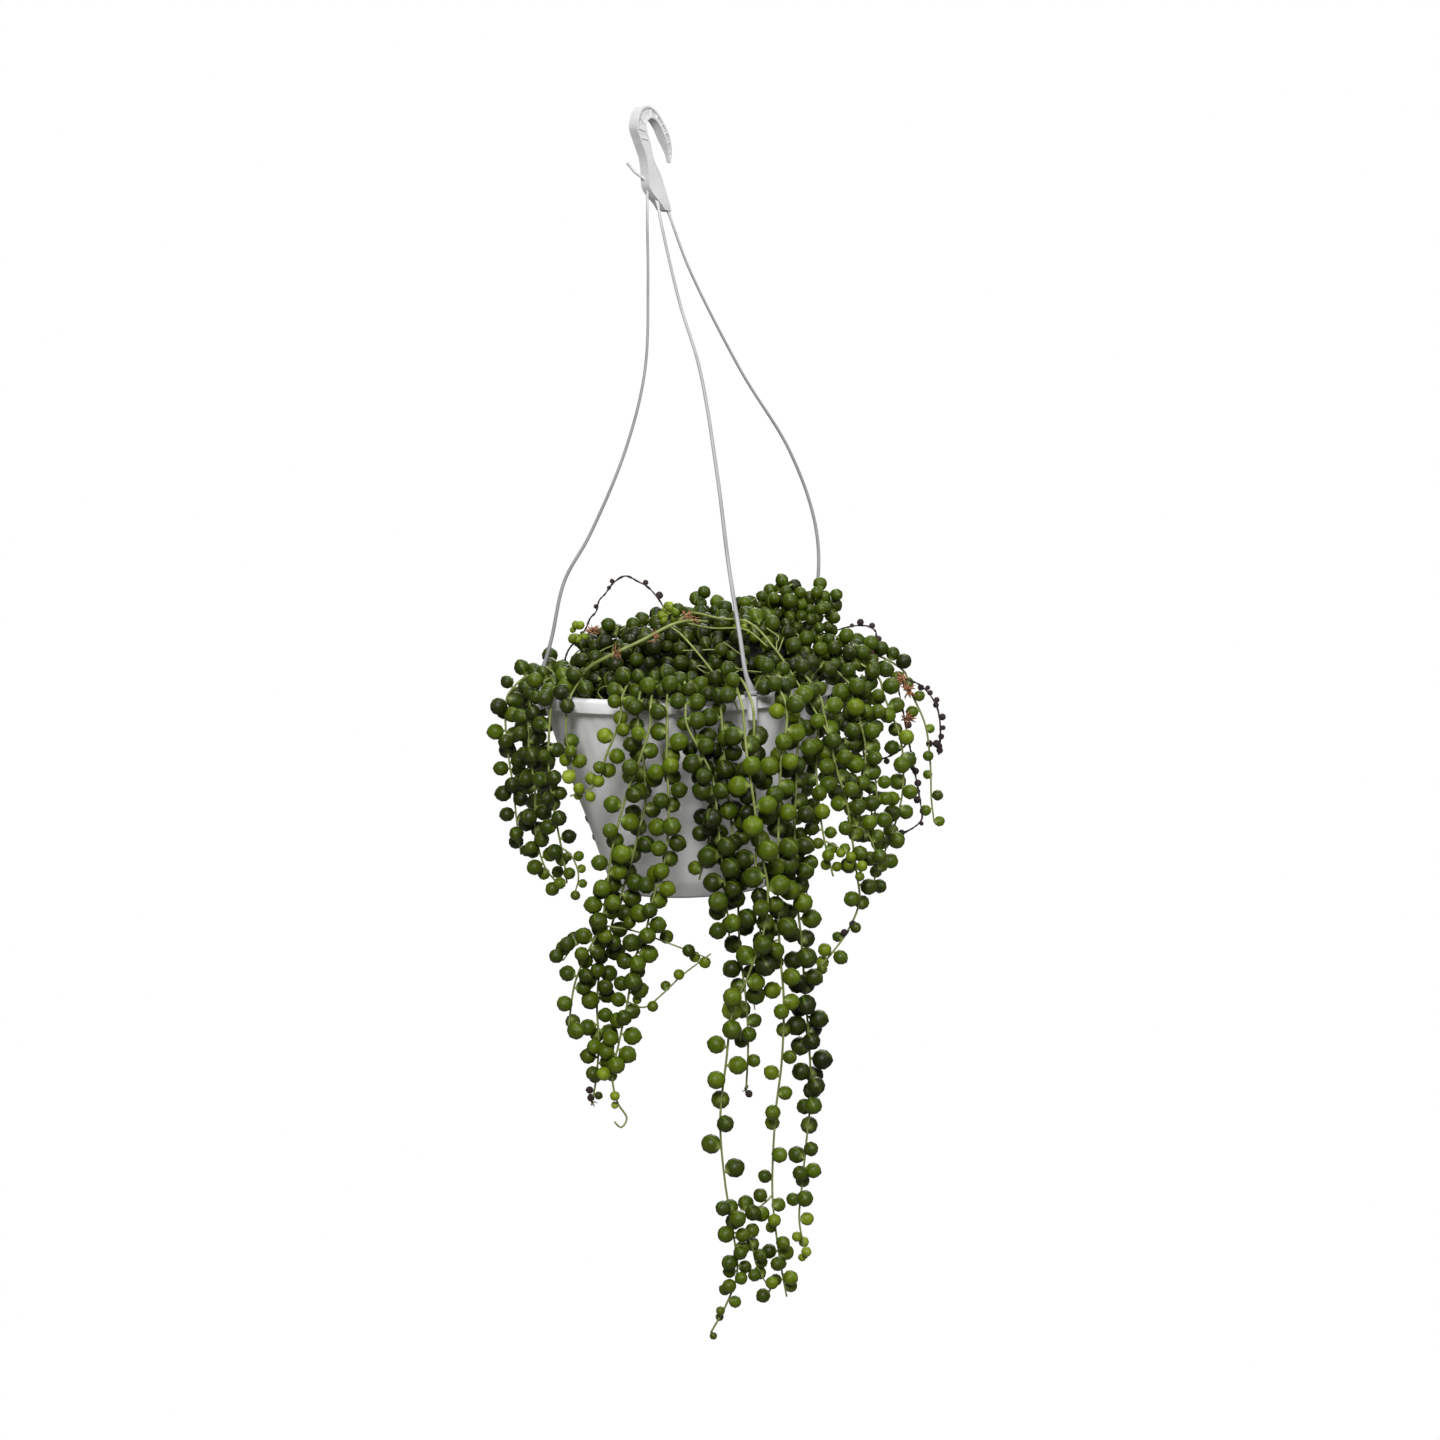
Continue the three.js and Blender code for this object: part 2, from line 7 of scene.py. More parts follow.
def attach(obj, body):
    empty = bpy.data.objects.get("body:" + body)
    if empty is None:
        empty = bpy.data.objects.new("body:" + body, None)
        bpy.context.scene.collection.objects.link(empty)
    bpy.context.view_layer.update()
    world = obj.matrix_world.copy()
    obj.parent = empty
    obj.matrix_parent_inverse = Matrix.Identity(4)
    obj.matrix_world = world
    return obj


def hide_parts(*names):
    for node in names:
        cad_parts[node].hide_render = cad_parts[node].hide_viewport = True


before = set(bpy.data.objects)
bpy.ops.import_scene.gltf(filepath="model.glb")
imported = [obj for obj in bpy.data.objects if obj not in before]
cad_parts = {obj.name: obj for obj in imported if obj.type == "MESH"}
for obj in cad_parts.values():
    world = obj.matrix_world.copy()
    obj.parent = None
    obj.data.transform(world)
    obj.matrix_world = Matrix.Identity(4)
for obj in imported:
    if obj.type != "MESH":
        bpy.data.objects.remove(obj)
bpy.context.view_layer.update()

# The camera stands a little left of the pot's axis, between the hook and the rim, and looks
# slightly down. It is a short telephoto lens, held a little out of level.
MM = 0.001
CAMERA_PLACE = np.array([-1.0, -1385.5, -126.9]) * MM
CAMERA_YAW, CAMERA_PITCH, CAMERA_ROLL = np.radians([1.017, -7.121, -2.403])
LENS = 68.93
FILM_WIDTH = 36
ahead = np.array([
    math.sin(CAMERA_YAW) * math.cos(CAMERA_PITCH),
    math.cos(CAMERA_YAW) * math.cos(CAMERA_PITCH),
    math.sin(CAMERA_PITCH),
])
level = np.cross(ahead, (0, 0, 1))
level /= np.linalg.norm(level)
above = np.cross(level, ahead)
right = math.cos(CAMERA_ROLL) * level + math.sin(CAMERA_ROLL) * above
up = math.cos(CAMERA_ROLL) * above - math.sin(CAMERA_ROLL) * level
camera = bpy.data.objects.new("camera", bpy.data.cameras.new("camera"))
camera.data.lens = LENS
camera.data.sensor_width = FILM_WIDTH
turn = np.column_stack([right, up, -ahead, CAMERA_PLACE])
camera.matrix_world = Matrix(np.vstack([turn, (0, 0, 0, 1)]).tolist())
bpy.context.scene.collection.objects.link(camera)
bpy.context.scene.camera = camera
bpy.context.scene.view_settings.view_transform = "Standard"


# The pot is one moulding of white polypropylene, 1.6 mm thick, with a rolled rim, faint flutes
# under the rim, four drain holes in its base, and three bosses on the rim that take the hanger's pegs.
# Lengths of this file's lists are in millimetres from the centre of the rim's top.
POT_AXIS = np.array([7.0, 0.0, -280.0])
POT_HEIGHT = 103
RIM_RADIUS = 75.4
RIM_DEPTH = 7
NECK_RADIUS = 72.4
BASE_RADIUS = 41.8
WALL = 1.6
SOIL_TOP = -13
BOSS_AZIMUTHS = np.radians([170, -66, 44])
BOSS_CIRCLE = RIM_RADIUS + 0.9
BOSS_RADIUS = 2.6
BOSS_FOOT = -12
BOSS_TOP = -0.05
FLUTES = 56
FLUTE_DEPTH = 0.22
POT_SIDES = 168


def placed(points):
    """Points in the model's frame, in metres, from millimetres about the rim's centre."""
    return (np.asarray(points, float) + POT_AXIS) * MM


def at_height(height):
    """The Z in metres of a height in millimetres above the rim's top."""
    return (POT_AXIS[2] + height) * MM


def per_metre(grain):
    """A pattern's scale, from the width of its grain in millimetres."""
    return 1 / (grain * MM)


def linear(colour):
    """The linear red, green, blue and alpha of an sRGB hex colour."""
    channels = np.array([int(colour[i:i + 2], 16) for i in (1, 3, 5)]) / 255
    curved = ((channels + 0.055) / 1.055) ** 2.4
    return (*np.where(channels <= 0.04045, channels / 12.92, curved), 1.0)


def feed(node, inputs):
    """Sets a node's inputs, in a list by their order or in a dictionary by name. Each is a value,
    or what is linked to it: a socket, or a node, which gives its first output in use."""
    for key, value in inputs.items() if isinstance(inputs, dict) else enumerate(inputs):
        if isinstance(value, bpy.types.Node):
            value = next(output for output in value.outputs if output.enabled)
        if isinstance(value, bpy.types.NodeSocket):
            node.id_data.links.new(value, node.inputs[key])
        else:
            node.inputs[key].default_value = value


def add_node(tree, kind, inputs=(), stops=(), **settings):
    """Adds a shader node with its settings and inputs. `stops` are a colour ramp's places, from
    0 to 1, with their hex colours."""
    node = tree.nodes.new("ShaderNode" + kind)
    for key, value in settings.items():
        setattr(node, key, value)
    for place, colour in stops:
        elements = node.color_ramp.elements
        stop = elements[0] if place == 0 else elements[-1] if place == 1 else elements.new(place)
        stop.color = linear(colour)
    feed(node, inputs)
    return node


def new_material(name):
    """A material, with its node tree and the Principled node that it starts with."""
    material = bpy.data.materials.new(name)
    material.use_nodes = True
    return material, material.node_tree, material.node_tree.nodes["Principled BSDF"]


def smoothstep(value, low, high):
    """0 below low, 1 above high, and 3t^2 - 2t^3 between them, t being the share of the way."""
    share = np.clip((value - low) / (high - low), 0, 1)
    return share * share * (3 - 2 * share)


def ring_faces(rows, columns):
    """Quads of a grid whose rows close on themselves: a point, the next one round, and the two
    beyond them on the next row."""
    row, column = np.meshgrid(np.arange(rows - 1), np.arange(columns), indexing="ij")
    here = row * columns + column
    beside = row * columns + (column + 1) % columns
    return np.stack([here, beside, beside + columns, here + columns], -1).reshape(-1, 4)


def fan_faces(centre, first, columns, outward):
    """Triangles from a point to each side of the ring of points that begins at `first`."""
    here = first + np.arange(columns)
    beside = first + (np.arange(columns) + 1) % columns
    pair = (here, beside) if outward else (beside, here)
    return np.column_stack([np.full(columns, centre), *pair])


def surface(points, *face_sets, material=0, local=0.0, tone=0.5):
    """A surface as a dictionary of arrays: points, the corners of all faces in one row, each
    face's number of corners and material, and two values that a point's material reads."""
    count = sum(len(faces) for faces in face_sets)
    return {
        "points": np.asarray(points, float),
        "corners": np.concatenate([np.asarray(faces).ravel() for faces in face_sets]),
        "sizes": np.concatenate([np.full(len(faces), np.shape(faces)[1]) for faces in face_sets]),
        "material": np.full(count, material),
        "local": np.broadcast_to(local, (len(points), 3)),
        "tone": np.broadcast_to(tone, len(points)),
    }


def joined(parts):
    """Several surfaces as one: the arrays end to end, with the corners counted on."""
    whole = {key: np.concatenate([part[key] for part in parts]) for key in parts[0]}
    starts = np.cumsum([0] + [len(part["points"]) for part in parts[:-1]])
    whole["corners"] = np.concatenate([part["corners"] + start for part, start in zip(parts, starts)])
    return whole


def as_mesh(name, part):
    """A mesh in metres from a surface in millimetres about the rim's centre."""
    mesh = bpy.data.meshes.new(name)
    first_corners = np.cumsum(part["sizes"]) - part["sizes"]
    mesh.vertices.add(len(part["points"]))
    mesh.vertices.foreach_set("co", placed(part["points"]).astype(np.float32).ravel())
    mesh.loops.add(len(part["corners"]))
    mesh.loops.foreach_set("vertex_index", part["corners"].astype(np.int32))
    mesh.polygons.add(len(part["sizes"]))
    mesh.polygons.foreach_set("loop_start", first_corners.astype(np.int32))
    mesh.polygons.foreach_set("material_index", part["material"].astype(np.int32))
    mesh.update(calc_edges=True)
    mesh.validate()
    return mesh


def add_piece(name, part, materials, replaces, sharp=None, marked=False):
    """A piece from a surface. Edges that turn by more than `sharp` degrees are kept crisp, and a
    marked piece keeps the values that its points' material reads."""
    mesh = as_mesh(name, part)
    for material in materials:
        mesh.materials.append(material)
    mesh.shade_smooth()
    if sharp is not None:
        mesh.set_sharp_from_angle(angle=math.radians(sharp))
    if marked:
        for label, kind, field in [("local", "FLOAT_VECTOR", "vector"), ("tone", "FLOAT", "value")]:
            marks = mesh.attributes.new(label, kind, "POINT")
            marks.data.foreach_set(field, part[label].astype(np.float32).ravel())
    piece = bpy.data.objects.new(name, mesh)
    bpy.context.scene.collection.objects.link(piece)
    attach(piece, "root")
    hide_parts(replaces)
    return piece


def turned(profile, sides, shaped=None):
    """A profile of (radius, height) carried round the axis. The first and last points lie on
    the axis, where the fans close the body."""
    profile = np.array(profile, float)
    angle = 2 * np.pi * np.arange(sides) / sides
    radius, height = profile[1:-1, :1], profile[1:-1, 1:]
    rows = np.stack(np.broadcast_arrays(radius * np.cos(angle), radius * np.sin(angle), height), -1)
    if shaped is not None:
        rows = shaped(rows)
    count = len(profile) - 2
    points = np.vstack([rows.reshape(-1, 3), [0, 0, profile[0, 1]], [0, 0, profile[-1, 1]]])
    bottom = fan_faces(count * sides, 0, sides, False)
    top = fan_faces(count * sides + 1, (count - 1) * sides, sides, True)
    return surface(points, ring_faces(count, sides), bottom, top)


def arc(centre, radius, first, last, count):
    """Points of a round corner: a circle's points from one angle to another, in degrees."""
    angle = np.radians(np.linspace(first, last, count))
    return [(centre[0] + radius * math.cos(a), centre[1] + radius * math.sin(a)) for a in angle]


def wall_at(height):
    """The outer wall's radius: a straight line from the base to the neck."""
    share = (np.asarray(height) + POT_HEIGHT) / (POT_HEIGHT - RIM_DEPTH)
    return BASE_RADIUS + (NECK_RADIUS - BASE_RADIUS) * share


def unevenness(azimuth, height):
    """How far the moulded wall stands out: three long waves round and up the wall."""
    waves = 0.22 * np.sin(3 * azimuth + 0.05 * height) + 0.13 * np.sin(7 * azimuth - 0.09 * height + 1)
    return waves + 0.08 * np.sin(11 * azimuth + 0.21 * height + 2)


def fluted(rows):
    """Moves the outer wall's points out and in: flutes under the rim that fade on the way down,
    and the long waves of a thin moulding."""
    radius = np.linalg.norm(rows[..., :2], axis=-1)
    height = rows[..., 2]
    azimuth = np.arctan2(rows[..., 1], rows[..., 0])
    wall = (np.abs(radius - wall_at(height)) < 0.6) & (height < -RIM_DEPTH - 1)
    fade = smoothstep(height, -60, -14) * smoothstep(-height, RIM_DEPTH, RIM_DEPTH + 3)
    fluting = FLUTE_DEPTH * fade * (np.cos(FLUTES * azimuth) - 1)
    settled = unevenness(azimuth, height) * smoothstep(-height, RIM_DEPTH, 30) * smoothstep(height, -100, -90)
    grown = 1 + np.where(wall, fluting + settled, 0) / np.maximum(radius, 1)
    return np.concatenate([rows[..., :2] * grown[..., None], height[..., None]], -1)


step_heights = np.linspace(-POT_HEIGHT + 9, -RIM_DEPTH - 1.2, 44)
pot_profile = [
    (0, -POT_HEIGHT + 0.8),
    (BASE_RADIUS - 7, -POT_HEIGHT + 0.8),
    (BASE_RADIUS - 5.5, -POT_HEIGHT + 0.4),
    (BASE_RADIUS - 4.6, -POT_HEIGHT),
    *arc((BASE_RADIUS - 1.2, -POT_HEIGHT + 1.4), 1.4, -90, -17, 6),
    (float(wall_at(-POT_HEIGHT + 7.2)), -POT_HEIGHT + 7.2),
    (float(wall_at(-POT_HEIGHT + 7.6)) + 0.35, -POT_HEIGHT + 7.8),
    *[(float(wall_at(h)) + 0.3 * float(smoothstep(-h, 70, 95)), h) for h in step_heights],
    *arc((NECK_RADIUS + 0.9, -RIM_DEPTH - 0.6), 0.6, 180, 90, 4),
    (RIM_RADIUS - 0.8, -RIM_DEPTH),
    *arc((RIM_RADIUS - 0.6, -RIM_DEPTH + 0.6), 0.6, -60, 0, 4),
    (RIM_RADIUS - 0.05, -3.6),
    *arc((RIM_RADIUS - 2.4, -2.2), 2.2, 0, 90, 9),
    *arc((NECK_RADIUS - WALL + 0.9, -0.9), 0.9, 90, 180, 5),
    (NECK_RADIUS - WALL, -RIM_DEPTH),
    *[(float(wall_at(h)) - WALL, h) for h in np.linspace(-RIM_DEPTH - 4, -POT_HEIGHT + 5, 12)],
    (BASE_RADIUS - WALL - 2, -POT_HEIGHT + WALL),
    (0, -POT_HEIGHT + WALL),
]

# A Mix node's inputs for colours, by their order: the share, the colour under and the one over.
SHARE, UNDER, OVER = 0, 6, 7
# Widths in millimetres: clouds in the white, settled grit, orange peel, and soft waves.
CLOUD_GRAIN = 22.22
GRIT_GRAIN = 3.03
PEEL_GRAIN = 1.111
WAVE_GRAIN = 26.32


def polypropylene(name, pale, white, dirt):
    """Injection-moulded polypropylene: satin, a little see-through, with a fine orange peel and
    the dust and splashes of the potting bench, which gather at the rim and low down. A Map Range
    node's inputs are its value, the range that it has and the range that it is given."""
    material, tree, skin = new_material(name)
    coords = add_node(tree, "TexCoord").outputs["Object"]
    height = add_node(tree, "SeparateXYZ", [coords]).outputs["Z"]
    clouds = {"Vector": coords, "Scale": per_metre(CLOUD_GRAIN), "Detail": 3, "Roughness": 0.55}
    cloudy = add_node(tree, "TexNoise", clouds)
    blotched = {SHARE: cloudy, UNDER: linear(pale), OVER: linear(white)}
    blotch = add_node(tree, "Mix", blotched, data_type="RGBA")
    grit = {"Vector": coords, "Scale": per_metre(GRIT_GRAIN), "Detail": 4, "Roughness": 0.7}
    specks = add_node(tree, "MapRange", [add_node(tree, "TexNoise", grit), 0.68, 0.75, 0, 0.75])
    near_rim = add_node(tree, "MapRange", [height, at_height(-12), at_height(-1), 0, 1])
    low_down = add_node(tree, "MapRange", [height, at_height(-75), at_height(-POT_HEIGHT), 0, 0.5])
    where = add_node(tree, "Math", [near_rim, low_down], operation="MAXIMUM")
    dusty = add_node(tree, "Math", [specks, where], operation="MULTIPLY")
    dirtied = {SHARE: dusty, UNDER: blotch, OVER: linear(dirt)}
    colour = add_node(tree, "Mix", dirtied, data_type="RGBA")
    scuffs = add_node(tree, "MapRange", [cloudy, 0.3, 0.7, 0.38, 0.55])
    peel = add_node(tree, "TexNoise", {"Vector": coords, "Scale": per_metre(PEEL_GRAIN), "Detail": 2})
    waves = add_node(tree, "TexNoise", {"Vector": coords, "Scale": per_metre(WAVE_GRAIN), "Detail": 1})
    fine = add_node(tree, "Bump", {"Height": peel, "Strength": 0.12, "Distance": 0.0002})
    relief = {"Height": waves, "Strength": 0.55, "Distance": 0.004, "Normal": fine}
    feed(skin, {"Roughness": scuffs, "Normal": add_node(tree, "Bump", relief), "IOR": 1.49})
    feed(skin, {"Subsurface Weight": 0.12, "Subsurface Radius": (1, 1, 1), "Subsurface Scale": 0.0015})
    return material, tree, skin, height, colour


# The pot's own: nearly white, with a thin dark grey line at the very foot, painted shade for the underside of
# its rounded foot.
pot_pp, tree, skin, height, colour = polypropylene("white_polypropylene", "#DADADF", "#FCFCFA", "#5C5346")
foot_shade_line = add_node(tree, "MapRange", [height, at_height(-101.8), at_height(-102.6), 0, 0.8])
foot_shade_mix = {SHARE: foot_shade_line, UNDER: colour, OVER: linear("#55565A")}
feed(skin, {"Base Color": add_node(tree, "Mix", foot_shade_mix, data_type="RGBA")})


def column(x, y, low, high, radius, sides=20, edge=0.35):
    """An upright round pin with softened ends, closed on its axis."""
    side = [(radius - edge, low), (radius, low + edge), (radius, high - edge), (radius - edge, high)]
    pin = turned([(0, low), *side, (0, high)], sides)
    pin["points"] = pin["points"] + np.array([x, y, 0])
    return pin


boss_spots = BOSS_CIRCLE * np.column_stack([np.cos(BOSS_AZIMUTHS), np.sin(BOSS_AZIMUTHS)])
bosses = [column(x, y, BOSS_FOOT, BOSS_TOP, BOSS_RADIUS) for x, y in boss_spots]
pot_surface = joined([turned(pot_profile, POT_SIDES, fluted), *bosses])
pot = add_piece("pot_moulding", pot_surface, [pot_pp], "pot", sharp=40)

# The drain holes are cut through the base with round cutters, and the cut is kept in the mesh.
DRAIN_AZIMUTHS = np.radians([45, 135, 225, 315])
DRAIN_CIRCLE = 0.62 * BASE_RADIUS
DRAIN_RADIUS = 3.5
drain_spots = DRAIN_CIRCLE * np.column_stack([np.cos(DRAIN_AZIMUTHS), np.sin(DRAIN_AZIMUTHS)])
cut_from, cut_to = -POT_HEIGHT - 2, -POT_HEIGHT + WALL + 0.2
drains = [column(x, y, cut_from, cut_to, DRAIN_RADIUS, 24, 0.05) for x, y in drain_spots]
cutter = bpy.data.objects.new("cutter", as_mesh("cutter", joined(drains)))
bpy.context.scene.collection.objects.link(cutter)
cut = pot.modifiers.new("drain", "BOOLEAN")
cut.object = cutter
cut.operation = "DIFFERENCE"
cut.solver = "EXACT"
cut_pot = pot.evaluated_get(bpy.context.evaluated_depsgraph_get())
pot.data = bpy.data.meshes.new_from_object(cut_pot)
pot.modifiers.clear()
bpy.data.objects.remove(cutter)


# The hanger is one moulding of white polypropylene: an open hook of I section with cross ribs,
# a crown below it, and three slim arms that swing out and snap on the rim with pegs.
HOOK_PLACE = np.array([-7.0, 0.0, 280.0])
HOOK_AZIMUTH = math.radians(48)
HOOK_BAND = 5.5
HOOK_FLANGE = 1.0
HOOK_WEB = 3.6
HOOK_RIBS = 18
HOOK_SPACING = 0.35
# Shares of the way round the hook, from its foot: its web is thin from the first to the second,
# and from the third on it narrows toward the tip.
WEB_FROM = 0.42
WEB_TO = 0.965
NARROW_FROM = 0.82
NARROWING = 0.7
# Pairs of points of the outer and the inner edge, in the hook's own plane, from the crown's
# foot over the top to the tip. The rod rests at 0, 0.
HOOK_EDGES = [
    [(7.6, -44.4), (12.4, -45)], [(4.6, -41), (11.2, -41.4)], [(0.2, -37.4), (9.8, -37.3)],
    [(-3.2, -33), (7.9, -32.5)], [(-3.4, -26), (6, -28)], [(-4.4, -19), (1.3, -20.3)],
    [(-8, -11), (-1, -12.3)], [(-10.4, -4), (-3, -6.3)], [(-6.6, 4.2), (-3.1, -2.4)],
    [(-0.6, 6), (0, 0)], [(4.7, 3.5), (3.6, -0.8)], [(9.4, -1.5), (7.2, -4.3)],
    [(13.9, -8.8), (11.1, -11.3)], [(16.2, -15.3), (13.2, -16.3)], [(15.6, -21), (14.2, -20.7)],
]
ARM_ROUTES = [
    [
        (-8, -1, 250), (-9, 0, 231), (-10, 1, 201), (-13.5, 2, 157), (-25, 4, 118), (-45, 8, 76),
        (-59, 10, 53), (-67, 12, 24), (-72, 12.8, 9),
    ],
    [
        (-4, 3, 243), (-2, 0, 228), (5, -13, 190), (13.4, -33, 156), (19.6, -48.5, 103),
        (22.7, -56, 64), (26.7, -66, 28), (28.6, -69.5, 11),
    ],
    [
        (0.5, 8, 239), (4, 8, 227), (11, 8, 206), (35, 24, 155), (59, 41, 113), (71, 50, 76),
        (72, 51, 48), (66, 53, 22), (58, 54, 8),
    ],
]
ARM_RADIUS = 0.8
ARM_GAIN = 0.42
FOOT_FLARE = 1.1
CROWN_FLARE = 0.9
ARM_END = 1.4
SPUR_ROUTE = [(-6.5, -0.5, 247.5), (-10, -2.5, 251), (-14, -5, 254), (-17.5, -7, 258.5)]
SPUR_RADII = [1.3, 0.75, 0.7, 0.9]
PEG_TIP = -7
PEG_RADIUS = 1.0
# How far a tube's closing points stand beyond its ends, as a share of its radius.
TUBE_END = 0.4


def through(points, spacing):
    """Points at an even spacing along the smooth curve through the given ones. Each stretch is
    a cubic, whose slopes are those of a spline with knots at the square roots of the distances."""
    points = np.array(points, float)
    run = np.vstack([2 * points[0] - points[1], points, 2 * points[-1] - points[-2]])
    gap = np.sqrt(np.linalg.norm(np.diff(run, axis=0), axis=1))[:, None]
    chord = np.diff(run, axis=0) / gap
    slope = chord[:-1] - (run[2:] - run[:-2]) / (gap[:-1] + gap[1:]) + chord[1:]
    start, end = points[:-1], points[1:]
    leaving, arriving = slope[:-1] * gap[1:-1], slope[1:] * gap[1:-1]
    t = np.linspace(0, 1, 24, endpoint=False)[:, None, None]
    fine = (
        (2 * t**3 - 3 * t**2 + 1) * start
        + (t**3 - 2 * t**2 + t) * leaving
        + (3 * t**2 - 2 * t**3) * end
        + (t**3 - t**2) * arriving
    )
    fine = np.vstack([fine.transpose(1, 0, 2).reshape(-1, points.shape[1]), points[-1]])
    along = np.concatenate([[0], np.cumsum(np.linalg.norm(np.diff(fine, axis=0), axis=1))])
    count = max(int(round(along[-1] / spacing)), 2)
    even = np.linspace(0, along[-1], count + 1)
    return np.column_stack([np.interp(even, along, fine[:, i]) for i in range(points.shape[1])])


SIDEWAYS = [
    (1, 0, 0), (0, 1, 0), (0, 0, 1), (1, 1, 0), (1, -1, 0), (1, 0, 1), (1, 0, -1), (0, 1, 1), (0, 1, -1),
]


def frames_along(path):
    """The direction, and two directions square to it, at each point of a path. The first of
    the two leans on whichever of a few fixed directions the path never runs along."""
    direction = np.gradient(path, axis=0)
    direction /= np.linalg.norm(direction, axis=1)[:, None]
    options = np.array(SIDEWAYS, float)
    options /= np.linalg.norm(options, axis=1)[:, None]
    chosen = options[np.argmin(np.abs(direction @ options.T).max(axis=0))]
    side = chosen - (direction @ chosen)[:, None] * direction
    side /= np.linalg.norm(side, axis=1)[:, None]
    return direction, side, np.cross(direction, side)


def tube(path, radii, sides, flat=1.0, material=0, tone=0.5):
    """A round skin along a path: rings square to it, closed by a point at each end. `flat` is
    the ring's second radius as a share of the first."""
    direction, side, other = frames_along(path)
    angle = 2 * np.pi * np.arange(sides)[:, None] / sides
    radii = np.broadcast_to(radii, len(path))[:, None, None]
    round_path = np.cos(angle) * side[:, None] + flat * np.sin(angle) * other[:, None]
    rings = path[:, None] + radii * round_path
    count = len(path) * sides
    foot = path[0] - direction[0] * radii[0, 0] * TUBE_END
    head = path[-1] + direction[-1] * radii[-1, 0] * TUBE_END
    points = np.vstack([rings.reshape(-1, 3), foot, head])
    ends = fan_faces(count, 0, sides, False), fan_faces(count + 1, count - sides, sides, True)
    return surface(points, ring_faces(len(path), sides), *ends, material=material, tone=tone)


def hook_skin():
    """The hook's band. At each station along the paired edges, the I section runs from the
    outer edge to the inner one, with its web sunk in except at the cross ribs."""
    edges = through(np.reshape(HOOK_EDGES, (-1, 4)), HOOK_SPACING)
    outer, inner = edges[:, :2], edges[:, 2:]
    share = np.linspace(0, 1, len(edges))
    width = np.linalg.norm(inner - outer, axis=1)
    flange = np.minimum(HOOK_FLANGE, 0.28 * width) / width
    rib = np.abs(np.sin(np.pi * HOOK_RIBS * share)) < 0.2
    solid = (share < WEB_FROM) | (share > WEB_TO)
    narrow = 1 - NARROWING * smoothstep(share, NARROW_FROM, 1)
    web = np.where(rib | solid, HOOK_BAND / 2 - 0.25, HOOK_WEB / 2) * narrow
    edge = HOOK_BAND / 2 * narrow
    across = [0 * flange, flange, flange, 1 - flange, 1 - flange, 1 + 0 * flange]
    halves = [edge, edge, web, web, edge, edge]
    section = list(zip(across, halves)) + [(a, -half) for a, half in zip(across[::-1], halves[::-1])]
    toward = np.array([math.cos(HOOK_AZIMUTH), math.sin(HOOK_AZIMUTH), 0])
    square = np.array([-math.sin(HOOK_AZIMUTH), math.cos(HOOK_AZIMUTH), 0])
    rows = []
    for place, half in section:
        flat = outer + (inner - outer) * place[:, None]
        upright = HOOK_PLACE + flat[:, :1] * toward + half[:, None] * square
        rows.append(upright + flat[:, 1:] * np.array([0, 0, 1]))
    rings = np.stack(rows, 1)
    count, sides = rings.shape[:2]
    foot = np.arange(sides)[None, ::-1]
    tip = (count - 1) * sides + np.arange(sides)[None]
    return surface(rings.reshape(-1, 3), ring_faces(count, sides), foot, tip)


def arm_skin(route, spot):
    """An arm: thin at the crown, thicker down to its foot, and flared at both ends."""
    path = through([*route, (*spot, ARM_END)], 2.5)
    share = np.linspace(0, 1, len(path))
    radii = ARM_RADIUS + ARM_GAIN * share**1.5 + FOOT_FLARE * smoothstep(share, 0.965, 1)
    radii += CROWN_FLARE * (1 - smoothstep(share, 0, 0.03))
    return tube(path, radii, 14, flat=0.82)


hanger_parts = [hook_skin()]
spur = through(SPUR_ROUTE, 0.6)
spur_radii = np.interp(np.linspace(0, 1, len(spur)), [0, 0.2, 0.8, 1], SPUR_RADII)
hanger_parts.append(tube(spur, spur_radii, 12))
for route, spot in zip(ARM_ROUTES, boss_spots):
    hanger_parts.append(arm_skin(route, spot))
    hanger_parts.append(column(*spot, 0.15, 1.9, BOSS_RADIUS + 0.9, 28))
    hanger_parts.append(column(*spot, PEG_TIP, 1, PEG_RADIUS, 14, 0.2))

# The same polypropylene with its dust specks. It is painted mid grey all over, which is painted shade on the
# thin arms, and the hook and crown are painted whiter, which is painted light.
hanger_pp, tree, skin, height, colour = polypropylene("hanger_polypropylene", "#8E8E91", "#ACACAF", "#A0A0A0")
# Painted light: above this height the hook and crown are painted whiter.
hook_light_share = add_node(tree, "MapRange", [height, at_height(224), at_height(240), 0, 1])
hook_light_mix = {SHARE: hook_light_share, UNDER: colour, OVER: linear("#CCCCCE")}
feed(skin, {"Base Color": add_node(tree, "Mix", hook_light_mix, data_type="RGBA")})
add_piece("hanger_moulding", joined(hanger_parts), [hanger_pp], "hanger", sharp=35)


# The potting mix: peat with bits of bark and perlite, filled to 13 mm below the rim. The bed
# is a disc whose top is raised into crumbs by layers of waves.
SOIL_GAP = 0.6
SOIL_RINGS = 60
SOIL_SIDES = 150
SOIL_FOOT = -POT_HEIGHT + WALL + 0.3
CRUMBS = [(9.0, 1.0), (4.1, 0.7), (2.3, 0.55), (1.3, 0.3)]


def crumbs(x, y):
    """The height of the crumbs at a place: products of waves at each of the four sizes."""
    waves = [
        height * np.sin(x / size + 2 * np.sin(y / size)) * np.sin(1.3 * y / size + 1.5 * np.sin(x / size + 1))
        for size, height in CRUMBS
    ]
    return sum(waves)


